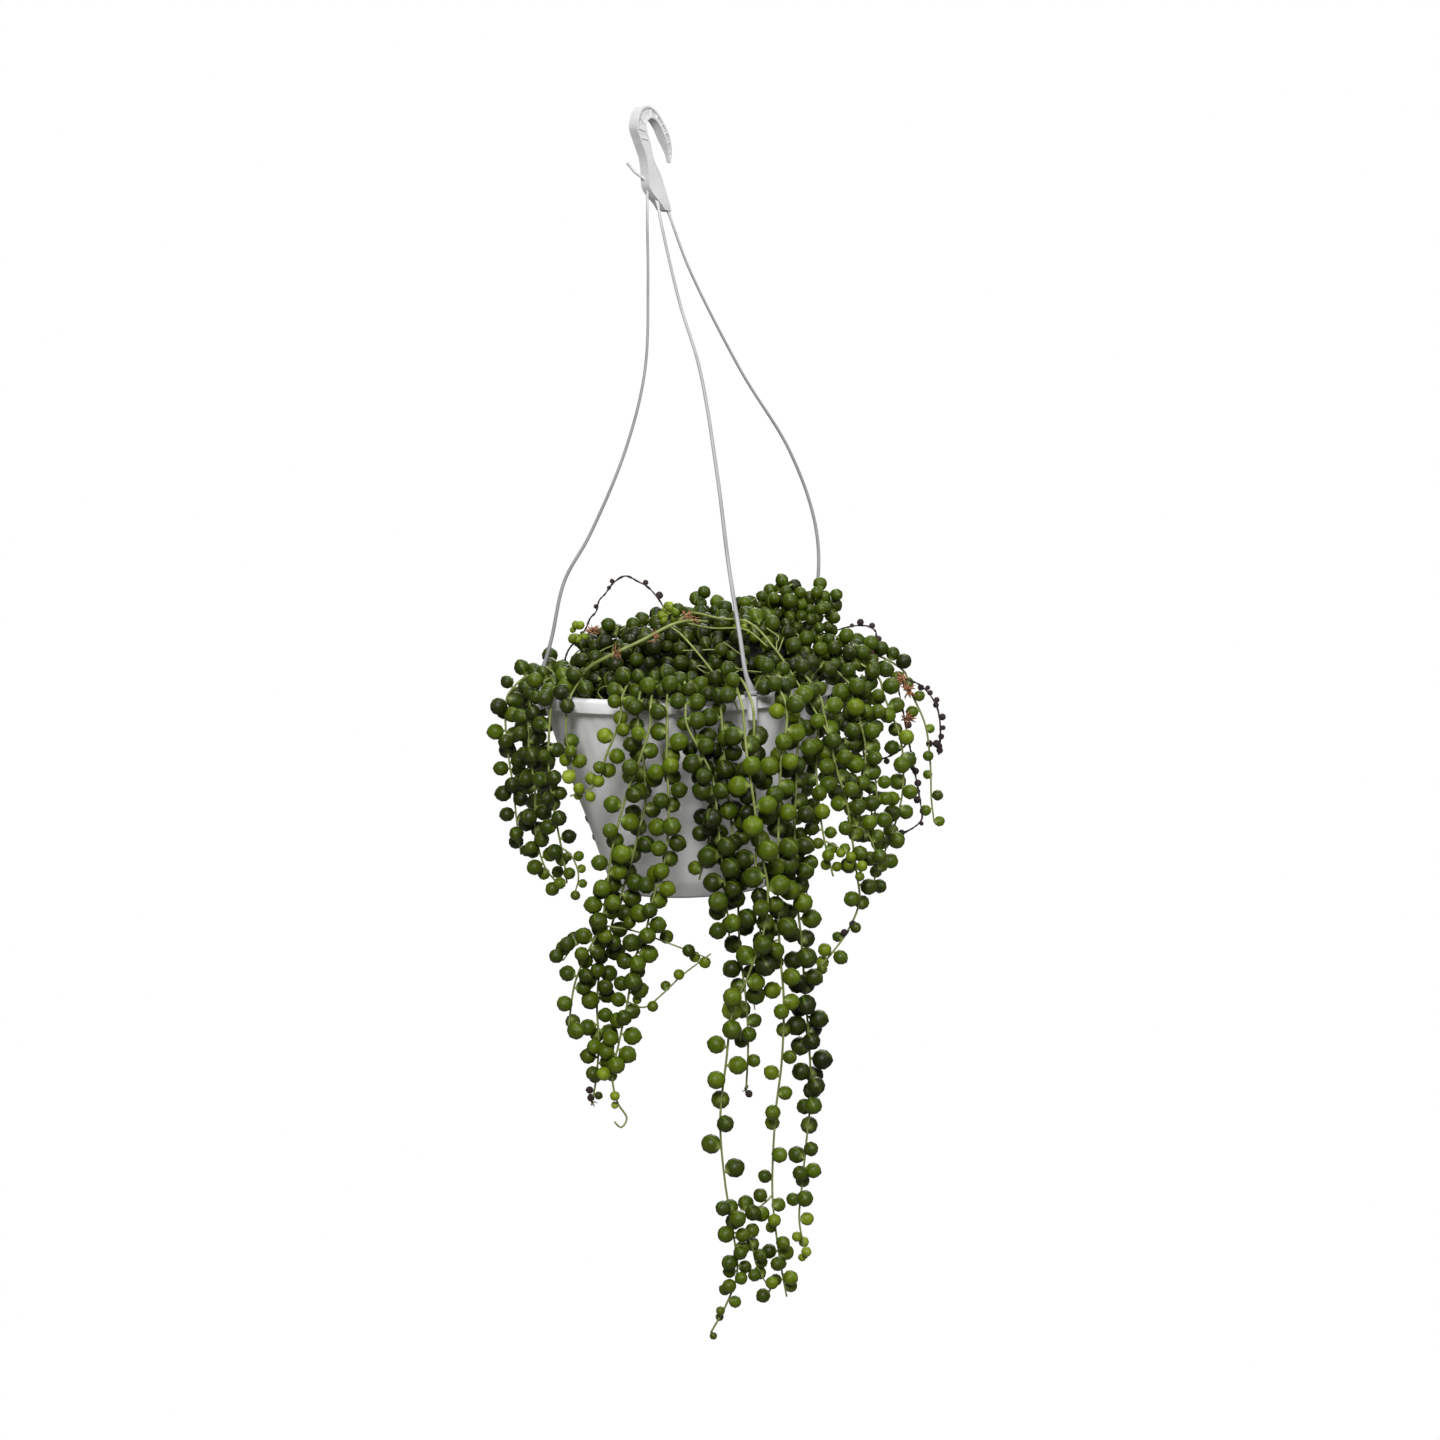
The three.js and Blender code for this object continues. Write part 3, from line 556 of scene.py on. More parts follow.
def grained(name, grain, detail, harshness, stops, roughness, relief=0.0, depth=0.0):
    """A matt natural material. Its noise has a grain of a width in millimetres, gives the colour
    by a ramp's stops, and is pressed into the surface by the relief's strength and depth."""
    material, tree, skin = new_material(name)
    coords = add_node(tree, "TexCoord").outputs["Object"]
    pattern = {"Vector": coords, "Scale": per_metre(grain), "Detail": detail, "Roughness": harshness}
    noise = add_node(tree, "TexNoise", pattern)
    feed(skin, {"Base Color": add_node(tree, "ValToRGB", [noise], stops), "Roughness": roughness})
    if relief:
        pressed = {"Height": noise, "Strength": relief, "Distance": depth}
        feed(skin, {"Normal": add_node(tree, "Bump", pressed)})
    return material


soil_brink = float(wall_at(SOIL_TOP)) - WALL - SOIL_GAP
soil_profile = [(0, SOIL_FOOT), (BASE_RADIUS - WALL - 1.2, SOIL_FOOT), (soil_brink - 0.4, SOIL_TOP - 2)]
soil_profile += [(radius, SOIL_TOP) for radius in np.linspace(soil_brink, 1, SOIL_RINGS)]
soil_profile += [(0, SOIL_TOP)]
soil = turned(soil_profile, SOIL_SIDES)
on_top = soil["points"][:, 2] > SOIL_TOP - 1
soil["points"][on_top, 2] += crumbs(*soil["points"][on_top, :2].T)

# Damp peat and bark: matt, nearly black in the hollows, with light grains of perlite.
PEAT = [(0, "#120B07"), (1, "#4A3524")]
PERLITE_GRAIN = 4.348
potting_mix = grained("potting_mix", 1.4286, 6, 0.7, PEAT, 0.95, 0.9, 0.001)
tree = potting_mix.node_tree
skin = tree.nodes["Principled BSDF"]
peat = skin.inputs["Base Color"].links[0].from_socket
coords = tree.nodes["Texture Coordinate"].outputs["Object"]
cells = {"Vector": coords, "Scale": per_metre(PERLITE_GRAIN), "Randomness": 1.0}
grains = add_node(tree, "TexVoronoi", cells)
grain = add_node(tree, "MapRange", [grains, 0.16, 0.1, 0, 1])
draw = add_node(tree, "SeparateColor", [grains.outputs["Color"]])
chosen = add_node(tree, "Math", [draw, 0.8], operation="GREATER_THAN")
perlite = add_node(tree, "Math", [grain, chosen], operation="MULTIPLY")
speckled = {SHARE: perlite, UNDER: peat, OVER: linear("#B8B2A4")}
feed(skin, {"Base Color": add_node(tree, "Mix", speckled, data_type="RGBA")})
add_piece("potting_mix", soil, [potting_mix], "soil", sharp=60)


# The plant's own matter, which the mound, the strings and the dried stems share: the pearls'
# flesh, soft and full of water, the thin firm stems, and the shape that every pearl has.

# A waxy, water-filled leaf: dark olive to mid green, yellower when young, lit through a little,
# with a clear window line from stalk to tip on its upper side and a dry brown point.
pearl_flesh, tree, skin = new_material("pearl_leaf")
AGES = [(0, "#1A2202"), (0.3, "#354402"), (0.55, "#556806"), (0.78, "#788B18"), (1, "#9CAD36")]
FLESH_GRAIN = 2.381
tone = add_node(tree, "Attribute", attribute_name="tone").outputs["Fac"]
local = add_node(tree, "Attribute", attribute_name="local").outputs["Vector"]
axes = add_node(tree, "SeparateXYZ", [local])
coords = add_node(tree, "TexCoord").outputs["Object"]
mottles = {"Vector": coords, "Scale": per_metre(FLESH_GRAIN), "Detail": 3, "Roughness": 0.6}
mottle = add_node(tree, "TexNoise", mottles)
shade = add_node(tree, "MapRange", [mottle, 0.3, 0.7, 0.78, 1.2])
aged = {0: add_node(tree, "ValToRGB", [tone], AGES), "Scale": shade}
colour = add_node(tree, "VectorMath", aged, operation="SCALE")
beside = add_node(tree, "Math", [axes.outputs["Y"]], operation="ABSOLUTE")
line = add_node(tree, "MapRange", [beside, 0.16, 0.05, 0, 0.3])
line_side = add_node(tree, "MapRange", [axes.outputs["X"], 0.15, 0.5, 0, 1])
window = add_node(tree, "Math", [line, line_side], operation="MULTIPLY")
stalk = add_node(tree, "MapRange", [axes.outputs["Z"], -0.75, -1, 0, 0.8])
point = add_node(tree, "MapRange", [axes.outputs["Z"], 1.02, 1.12, 0, 0.9])
for share, tint in [(window, "#7F9638"), (stalk, "#93A558"), (point, "#6B5A33")]:
    tinted = {SHARE: share, UNDER: colour, OVER: linear(tint)}
    colour = add_node(tree, "Mix", tinted, data_type="RGBA")
wax = add_node(tree, "MapRange", [mottle, 0.3, 0.7, 0.36, 0.52])
dimples = add_node(tree, "Bump", {"Height": mottle, "Strength": 0.15, "Distance": 0.0006})
feed(skin, {"Base Color": colour, "Roughness": wax, "Normal": dimples})
feed(skin, {"IOR": 1.42, "Specular IOR Level": 0.38})
feed(skin, {"Subsurface Weight": 0.15, "Subsurface Radius": (0.6, 1.0, 0.25), "Subsurface Scale": 0.003})

# The trailing stem: pale olive green, finely streaked, brown at old joints.
OLIVES = [(0, "#5A4A2C"), (0.42, "#75803F"), (1, "#A9B56E")]
green_stem = grained("living_stem", 3.846, 4, 0.65, OLIVES, 0.6, 0.4, 0.0004)

# Shrivelled stem and beads: dark brown to black, wrinkled and matt.
HUSKS = [(0, "#0C0907"), (1, "#40302A")]
dry_stem = grained("dried_stem", 1.923, 5, 0.7, HUSKS, 0.85, 0.8, 0.0008)

# A pearl is a leaf swollen to a ball, a little longer than wide, on a short stalk, with a
# pointed tip. Its profile is in shares of its radius, from the stalk's foot to the tip.
PEARL_PROFILE = [
    (0, -1.22), (0.11, -1.2), (0.15, -0.98), (0.66, -0.74), (0.97, -0.2), (0.93, 0.36), (0.55, 0.82),
    (0, 1.1),
]
PEARL_SIDES = 10
PEARL_REACH = 1.22
pearl_shape = turned(PEARL_PROFILE, PEARL_SIDES)
LIGHTWARD = np.array([-0.35, -0.3, 1.0])
# The seeded source of every draw below.
chance = np.random.default_rng(11)


def pearls(feet, outward, radii, tones, material=0):
    """Copies of the pearl: each stands on its foot with its axis outward and its window line
    toward the light, scaled by its radius."""
    outward = outward / np.linalg.norm(outward, axis=1)[:, None]
    across = np.cross(outward, LIGHTWARD)
    across /= np.maximum(np.linalg.norm(across, axis=1), 1e-6)[:, None]
    turns = np.stack([np.cross(across, outward), across, outward], -1)
    shape = pearl_shape["points"]
    lifted = shape + np.array([0, 0, PEARL_REACH])
    points = feet[:, None] + radii[:, None, None] * np.einsum("nij,pj->npi", turns, lifted)
    count, each = len(feet), len(shape)
    corners = pearl_shape["corners"] + each * np.arange(count)[:, None]
    return {
        "points": points.reshape(-1, 3),
        "corners": corners.ravel(),
        "sizes": np.tile(pearl_shape["sizes"], count),
        "material": np.full(count * len(pearl_shape["sizes"]), material),
        "local": np.tile(shape, (count, 1)),
        "tone": np.repeat(tones, each),
    }


# The mound: stems heaped over the soil and covered with pearls, which stand up from a dark inner layer of
# pearls over a nearly black core. The core is painted shade. The inner layer is dark partly as older leaves
# and partly as painted shade. Each pearl is placed where it has room beside the pot, the arms and the others.

# What the pearls keep clear of. The pot and the soil are an edge that is turned about the axis,
# and the arms are points 2 mm apart, which go on down through the bosses.
outer_edge = [(BASE_RADIUS, -POT_HEIGHT), (NECK_RADIUS, -RIM_DEPTH), (RIM_RADIUS, -RIM_DEPTH)]
outer_edge += [(RIM_RADIUS, 0), (NECK_RADIUS - WALL, 0), (NECK_RADIUS - WALL, SOIL_TOP), (0, SOIL_TOP)]
edge_points = np.vstack([np.linspace(a, b, 90) for a, b in zip(outer_edge[:-1], outer_edge[1:])])
arm_points = [through([*route, (*spot, 1)], 2) for route, spot in zip(ARM_ROUTES, boss_spots)]
arm_points = np.vstack([*arm_points, [(*spot, z) for spot in boss_spots for z in (-9, -5, -1, 1)]])
ARM_CLEARANCE = 1.4
# The space before the front arm's foot, which shows in the photo: its middle and half sizes.
OPEN_X, OPEN_Z, OPEN_FRONT = 29, 9, -50
OPEN_HALF_X, OPEN_HALF_Z = 2.5, 21
# The balls that stand for the pearls so far: a centre and a radius each.
balls = np.zeros((0, 4))


def room_for(centre, radius, overlap=0.88):
    """Whether a ball stays clear of the pot, the arms, the open space before the front arm's
    foot, and the balls so far, into which it may press a little."""
    beside_arm = abs(centre[0] - OPEN_X) < OPEN_HALF_X + radius
    if beside_arm and centre[1] < OPEN_FRONT and abs(centre[2] - OPEN_Z) < OPEN_HALF_Z + radius:
        return False
    out = math.hypot(centre[0], centre[1])
    beside = np.hypot(out - edge_points[:, 0], centre[2] - edge_points[:, 1])
    from_arms = np.linalg.norm(arm_points - centre, axis=1)
    if beside.min() < radius or from_arms.min() < radius + ARM_CLEARANCE:
        return False
    gaps = np.linalg.norm(balls[:, :3] - centre, axis=1) - overlap * (balls[:, 3] + radius)
    return len(balls) == 0 or gaps.min() >= 0


# The core: its foot, its radius there and its growth above the rim, the radius over which its
# top is read, the top's height in the middle, and the peak at the right.
CORE_FOOT = SOIL_TOP + 1
CORE_RADIUS = 57
CORE_SWELL = 9
TOP_RADIUS = 60
CORE_MIDDLE = 27
PEAK = (50, 16)
PEAK_WIDTH = 24
PEAK_HEIGHT = 8
LUMP_HEIGHT = 2.4


def mound_top(x, y):
    """The foliage's core: a slope up to the right, a peak, and small lumps."""
    away = np.hypot(x - PEAK[0], y - PEAK[1]) / PEAK_WIDTH
    slope = CORE_MIDDLE + 0.17 * x + 0.05 * y
    lumps = LUMP_HEIGHT * np.sin(x / 9 + 1) * np.cos(y / 8)
    return slope + PEAK_HEIGHT * np.exp(-(away**2)) + lumps


def mound_reach(height):
    """How far out the core stands at a height: it swells over the rim."""
    return CORE_RADIUS + CORE_SWELL * smoothstep(height, -3, 22)


def on_mound(azimuth, rise):
    """The place on the core at an azimuth and a rise, which is 0 at the foot and a right angle
    at the top."""
    share = np.sqrt(np.cos(rise))
    x, y = TOP_RADIUS * share * np.cos(azimuth), TOP_RADIUS * share * np.sin(azimuth)
    height = CORE_FOOT + (mound_top(x, y) - CORE_FOOT) * np.sin(rise) ** 0.7
    out = share * mound_reach(height)
    return np.stack([out * np.cos(azimuth), out * np.sin(azimuth), height], -1)


def off_mound(azimuth, rise):
    """The direction square to the core's surface, from two small steps along it."""
    sideways = on_mound(azimuth + 0.02, rise) - on_mound(azimuth - 0.02, rise)
    upwards = on_mound(azimuth, rise + 0.01) - on_mound(azimuth, rise - 0.01)
    square = np.cross(sideways, upwards)
    return square / np.linalg.norm(square, axis=-1)[..., None]


# The turn from one pearl to the next, and from one try for a pearl's place to the next.
PEARL_TURN = 2.513
TRY_TURN = 1.256
TRIES = 5


def pearls_along(path, first, beads):
    """Pearls that turn round a stem by 144 degrees from one to the next. `beads` gives their
    spacing, radius and tone at heights from the rim down, with values in between blended."""
    global balls
    direction, side, other = frames_along(path)
    along = np.concatenate([[0], np.cumsum(np.linalg.norm(np.diff(path, axis=0), axis=1))])
    depth, *rows = np.array(beads, float).T
    feet, outs, radii, tones = [], [], [], []
    run, angle = first, chance.uniform(0, 2 * math.pi)
    while run < along[-1]:
        spot = min(int(np.searchsorted(along, run)), len(path) - 1)
        spacing, size, tone = (np.interp(-path[spot, 2], -depth, row) for row in rows)
        radius = size * chance.uniform(0.9, 1.14)
        for tries in range(TRIES):
            turn_by = angle + tries * TRY_TURN + chance.normal(0, 0.2)
            outward = math.cos(turn_by) * side[spot] + math.sin(turn_by) * other[spot]
            outward = outward + np.array([0, 0, chance.normal(0.05, 0.25)])
            outward /= np.linalg.norm(outward)
            centre = path[spot] + outward * PEARL_REACH * radius
            inside = math.hypot(*centre[:2]) < mound_reach(centre[2]) - 3
            hidden = inside and centre[2] < mound_top(*centre[:2]) - 3
            if not hidden and room_for(centre, radius):
                balls = np.vstack([balls, [*centre, radius]])
                feet.append(path[spot])
                outs.append(outward)
                radii.append(radius)
                tones.append(tone + chance.normal(0, 0.1))
                break
        angle += PEARL_TURN
        run += spacing * chance.uniform(0.75, 1.25)
    feet, outs = np.reshape(feet, (-1, 3)), np.reshape(outs, (-1, 3))
    return pearls(feet, outs, np.array(radii), np.clip(tones, 0, 1))


def outward_draws(count, lean=(0, 0, 0)):
    """Directions drawn evenly on all sides, or with a lean to one of them."""
    outs = chance.normal(0, 1, (count, 3)) + np.array(lean)
    return outs / np.linalg.norm(outs, axis=1)[:, None]


def placed_in_turn(centres, radii, overlap):
    """The numbers of those balls that have room, each tried after the ones before it."""
    global balls
    keep = []
    for i, (centre, radius) in enumerate(zip(centres, radii)):
        if room_for(centre, radius, overlap):
            balls = np.vstack([balls, [*centre, radius]])
            keep.append(i)
    return keep


# The layers' places turn by the golden angle as they rise, each shifted a little.
GOLDEN = math.pi * (3 - math.sqrt(5))
# For each layer: how many pearls are tried, their lift off the core, its spread, their radius and tone, and
# how near two may come, as a share of their radii's sum. The inner layer's low tone is partly older leaves
# and partly painted shade for the mound's depth.
LAYERS = [(320, -7.5, 1.0, 3.7, 0.06, 0.86), (560, -0.6, 1.9, 3.8, 0.15, 0.88)]
HEART_ROWS = 20
HEART_SIDES = 48
HEART_DEPTH = 10
WANDERING_STEMS = 14


def golden_layer(count, lift, spread, size, tone, overlap):
    """One layer of the mound's pearls that have room."""
    order = np.arange(count)
    azimuth = order * GOLDEN + chance.normal(0, 0.07, count)
    rise = 0.05 + (math.pi / 2 - 0.06) * (order + 0.5) / count
    rise = np.clip(rise + chance.normal(0, 0.03, count), 0.02, 1.55)
    square = off_mound(azimuth, rise)
    outward = square + chance.normal(0, 0.55, (count, 3)) + np.array([0, -0.1, 0.25])
    outward /= np.linalg.norm(outward, axis=1)[:, None]
    radii = size * chance.uniform(0.74, 1.2, count)
    lifted = square * (lift + chance.normal(0, spread, count))[:, None]
    feet = on_mound(azimuth, rise) + lifted - outward * 2
    keep = placed_in_turn(feet + outward * PEARL_REACH * radii[:, None], radii, overlap)
    # The tones grow a little lighter toward the right.
    tones = np.clip(tone + 0.0012 * feet[:, 0] + chance.normal(0, 0.11, count), 0, 0.7)
    return pearls(feet[keep], outward[keep], radii[keep], tones[keep])


def painted_shade_heart():
    """A closed, nearly black lump below the pearls' feet inside the mound: painted shade for the dark between
    the pearls.
    """
    rises = np.linspace(0.03, 1.56, HEART_ROWS)
    azimuths = np.linspace(0, 2 * np.pi, HEART_SIDES, endpoint=False)
    azimuth, rise = np.meshgrid(azimuths, rises)
    rows = on_mound(azimuth, rise) - HEART_DEPTH * off_mound(azimuth, rise)
    count = HEART_ROWS * HEART_SIDES
    top = [0, 0, mound_top(0, 0) - HEART_DEPTH]
    points = np.vstack([rows.reshape(-1, 3), [0, 0, SOIL_TOP + 2], top])
    foot = fan_faces(count, 0, HEART_SIDES, False)
    head = fan_faces(count + 1, count - HEART_SIDES, HEART_SIDES, True)
    return surface(points, ring_faces(HEART_ROWS, HEART_SIDES), foot, head, material=SHADED)


def bunch(centre, halves, count):
    """Pearls that crowd in an egg-shaped space, each pointing away from its middle."""
    outs = outward_draws(count)
    reach = chance.uniform(0.2, 1, count)[:, None] ** 0.4
    spots = np.array(centre) + outs * np.array(halves) * reach
    radii = BUNCH_PEARL * chance.uniform(0.76, 1.15, count)
    keep = placed_in_turn(spots, radii, 0.9)
    feet = spots[keep] - outs[keep] * PEARL_REACH * radii[keep, None]
    tones = np.clip(BUNCH_TONE + chance.normal(0, 0.09, len(keep)), 0, 0.55)
    return pearls(feet, outs[keep], radii[keep], tones)


def tuft(centre, count, reach, radius, material):
    """A tuft of short dry bracts that stand out from a place on all sides."""
    spikes = []
    for out in outward_draws(count, (0, -0.5, 0.3)):
        length = reach * chance.uniform(0.6, 1.1)
        bend = chance.normal(0, 0.25, 3) * length
        path = np.array(centre) + np.array([0 * out, out * length * 0.5 + bend * 0.4, out * length])
        spikes.append(tube(path, radius * np.array([1, 0.9, 0.3]), 4, material=material))
    return joined(spikes)


def cluster(centre, count, spread, size, tone):
    """A handful of young pearls that sit close round a place."""
    outs = outward_draws(count)
    feet = np.array(centre) + outs * spread * chance.uniform(0.3, 1, count)[:, None]
    radii = size * chance.uniform(0.7, 1.1, count)
    return pearls(feet, outs, radii, np.clip(tone + chance.normal(0, 0.08, count), 0, 1))


# Thick bare stems that lie over the front of the mound, and short sprigs that stand up from it.
BARE_STEMS = [
    [
        (-50, -38, 10), (-47, -42, 14), (-34, -48, 21), (-22, -48, 26), (-6, -42, 33), (2, -34, 34),
        (12, -22, 32),
    ],
    [(-6, -44, 32), (-1, -57, 29), (7, -67, 20), (15, -70, 9), (22, -72, -1), (24, -76, -6)],
    [
        (-2, -30, 34), (3, -26, 37), (18, -40, 35), (32, -48, 33), (44, -56, 20), (56, -62, 0),
        (64, -68, -14), (70, -70, -26),
    ],
    [(2, -36, 33), (14, -46, 31), (30, -52, 30), (40, -58, 22)],
]
BARE_RADII = [0.95, 0.55, 0.6, 0.45]
SPRIGS = [
    [(44, 8, 40), (50, 5, 44), (56, 2, 47)],
    [(60, 8, 38), (66, 5, 42), (70, 4, 43)],
    [(28, 14, 34), (34, 10, 38), (39, 8, 41)],
    [(-34, -6, 24), (-33, -8, 30)],
    [(64, 12, 34), (72, 10, 36), (76, 8, 42)],
    [(4, 10, 34), (9, 6, 40), (14, 4, 43)],
    [(70, 0, 22), (82, -4, 18), (92, -6, 12)],
]
# Dense bunches, most of them at the right: a centre, half sizes, and how many pearls are tried.
BUNCHES = [
    ((52, 6, 38), (15, 13, 9), 240), ((66, 2, 30), (12, 12, 14), 240), ((76, -6, 12), (14, 14, 12), 240),
    ((88, 2, 2), (14, 12, 9), 160), ((10, 0, 34), (16, 14, 6), 120), ((86, -26, -15), (11, 12, 19), 150),
]
BUNCH_PEARL = 3.8
BUNCH_TONE = 0.3
SPRIG_BEADS = [(60, 4.2, 3.7, 0.34), (-20, 4.2, 3.7, 0.34)]
YOUNG_CLUSTERS = [(-8, 0, 37), (-6, -5, 35), (-54, -3, 28), (28, -44, 30)]
BRACTS = [(1, -30, 36), (4, -31, 34), (-34, -49, 21), (-14, -52, 27), (-46, 0, 28)]

# A nearly black lump deep in the mound: painted shade for the dark between the pearls.
SHADE_FILL_COLOURS = [(0, "#070A04"), (1, "#1F2611")]
painted_shade_fill = grained("painted_shade_fill", 3.333, 5, 0.7, SHADE_FILL_COLOURS, 0.95, 1.0, 0.002)

# Papery brown bracts and leaf stubs, streaked from tan to rust.
RUSTS = [(0, "#5E3320"), (1, "#B5835C")]
dry_bract = grained("dried_bract", 1.6667, 3, 0.5, RUSTS, 0.8)

# The materials of the mound and of every string, in the order that their surfaces count them.
LIVING = [pearl_flesh, green_stem, dry_stem, painted_shade_fill, dry_bract]
GREEN, DRY, SHADED, BRACT = 1, 2, 3, 4
mound_parts = [golden_layer(*layer) for layer in LAYERS]
mound_parts += [bunch(*place) for place in BUNCHES]
for route in SPRIGS:
    path = through(route, 2)
    mound_parts += [tube(path, 0.45, 6, material=GREEN), pearls_along(path, 1, SPRIG_BEADS)]
for _ in range(WANDERING_STEMS):
    azimuth = chance.uniform(0, 2 * math.pi) + np.cumsum(chance.normal(0, 0.2, 7))
    rise = np.clip(chance.uniform(0.2, 1.3) + np.cumsum(chance.normal(0, 0.16, 7)), 0.05, 1.5)
    lift = chance.uniform(1, 4)
    path = through(on_mound(azimuth, rise) + off_mound(azimuth, rise) * lift, 2.5)
    mound_parts.append(tube(path, 0.36, 6, material=GREEN))
for route, radius in zip(BARE_STEMS, BARE_RADII):
    path = through(route, 2)
    mound_parts.append(tube(path, radius * np.linspace(1.0, 0.8, len(path)), 8, material=GREEN))
mound_parts += [cluster(spot, 8, 2.2, 2.2, 0.7) for spot in YOUNG_CLUSTERS]
mound_parts += [tuft(spot, 11, 5, 0.3, BRACT) for spot in BRACTS]
mound_parts.append(painted_shade_heart())
add_piece("foliage_mound", joined(mound_parts), LIVING, "mound", marked=True)


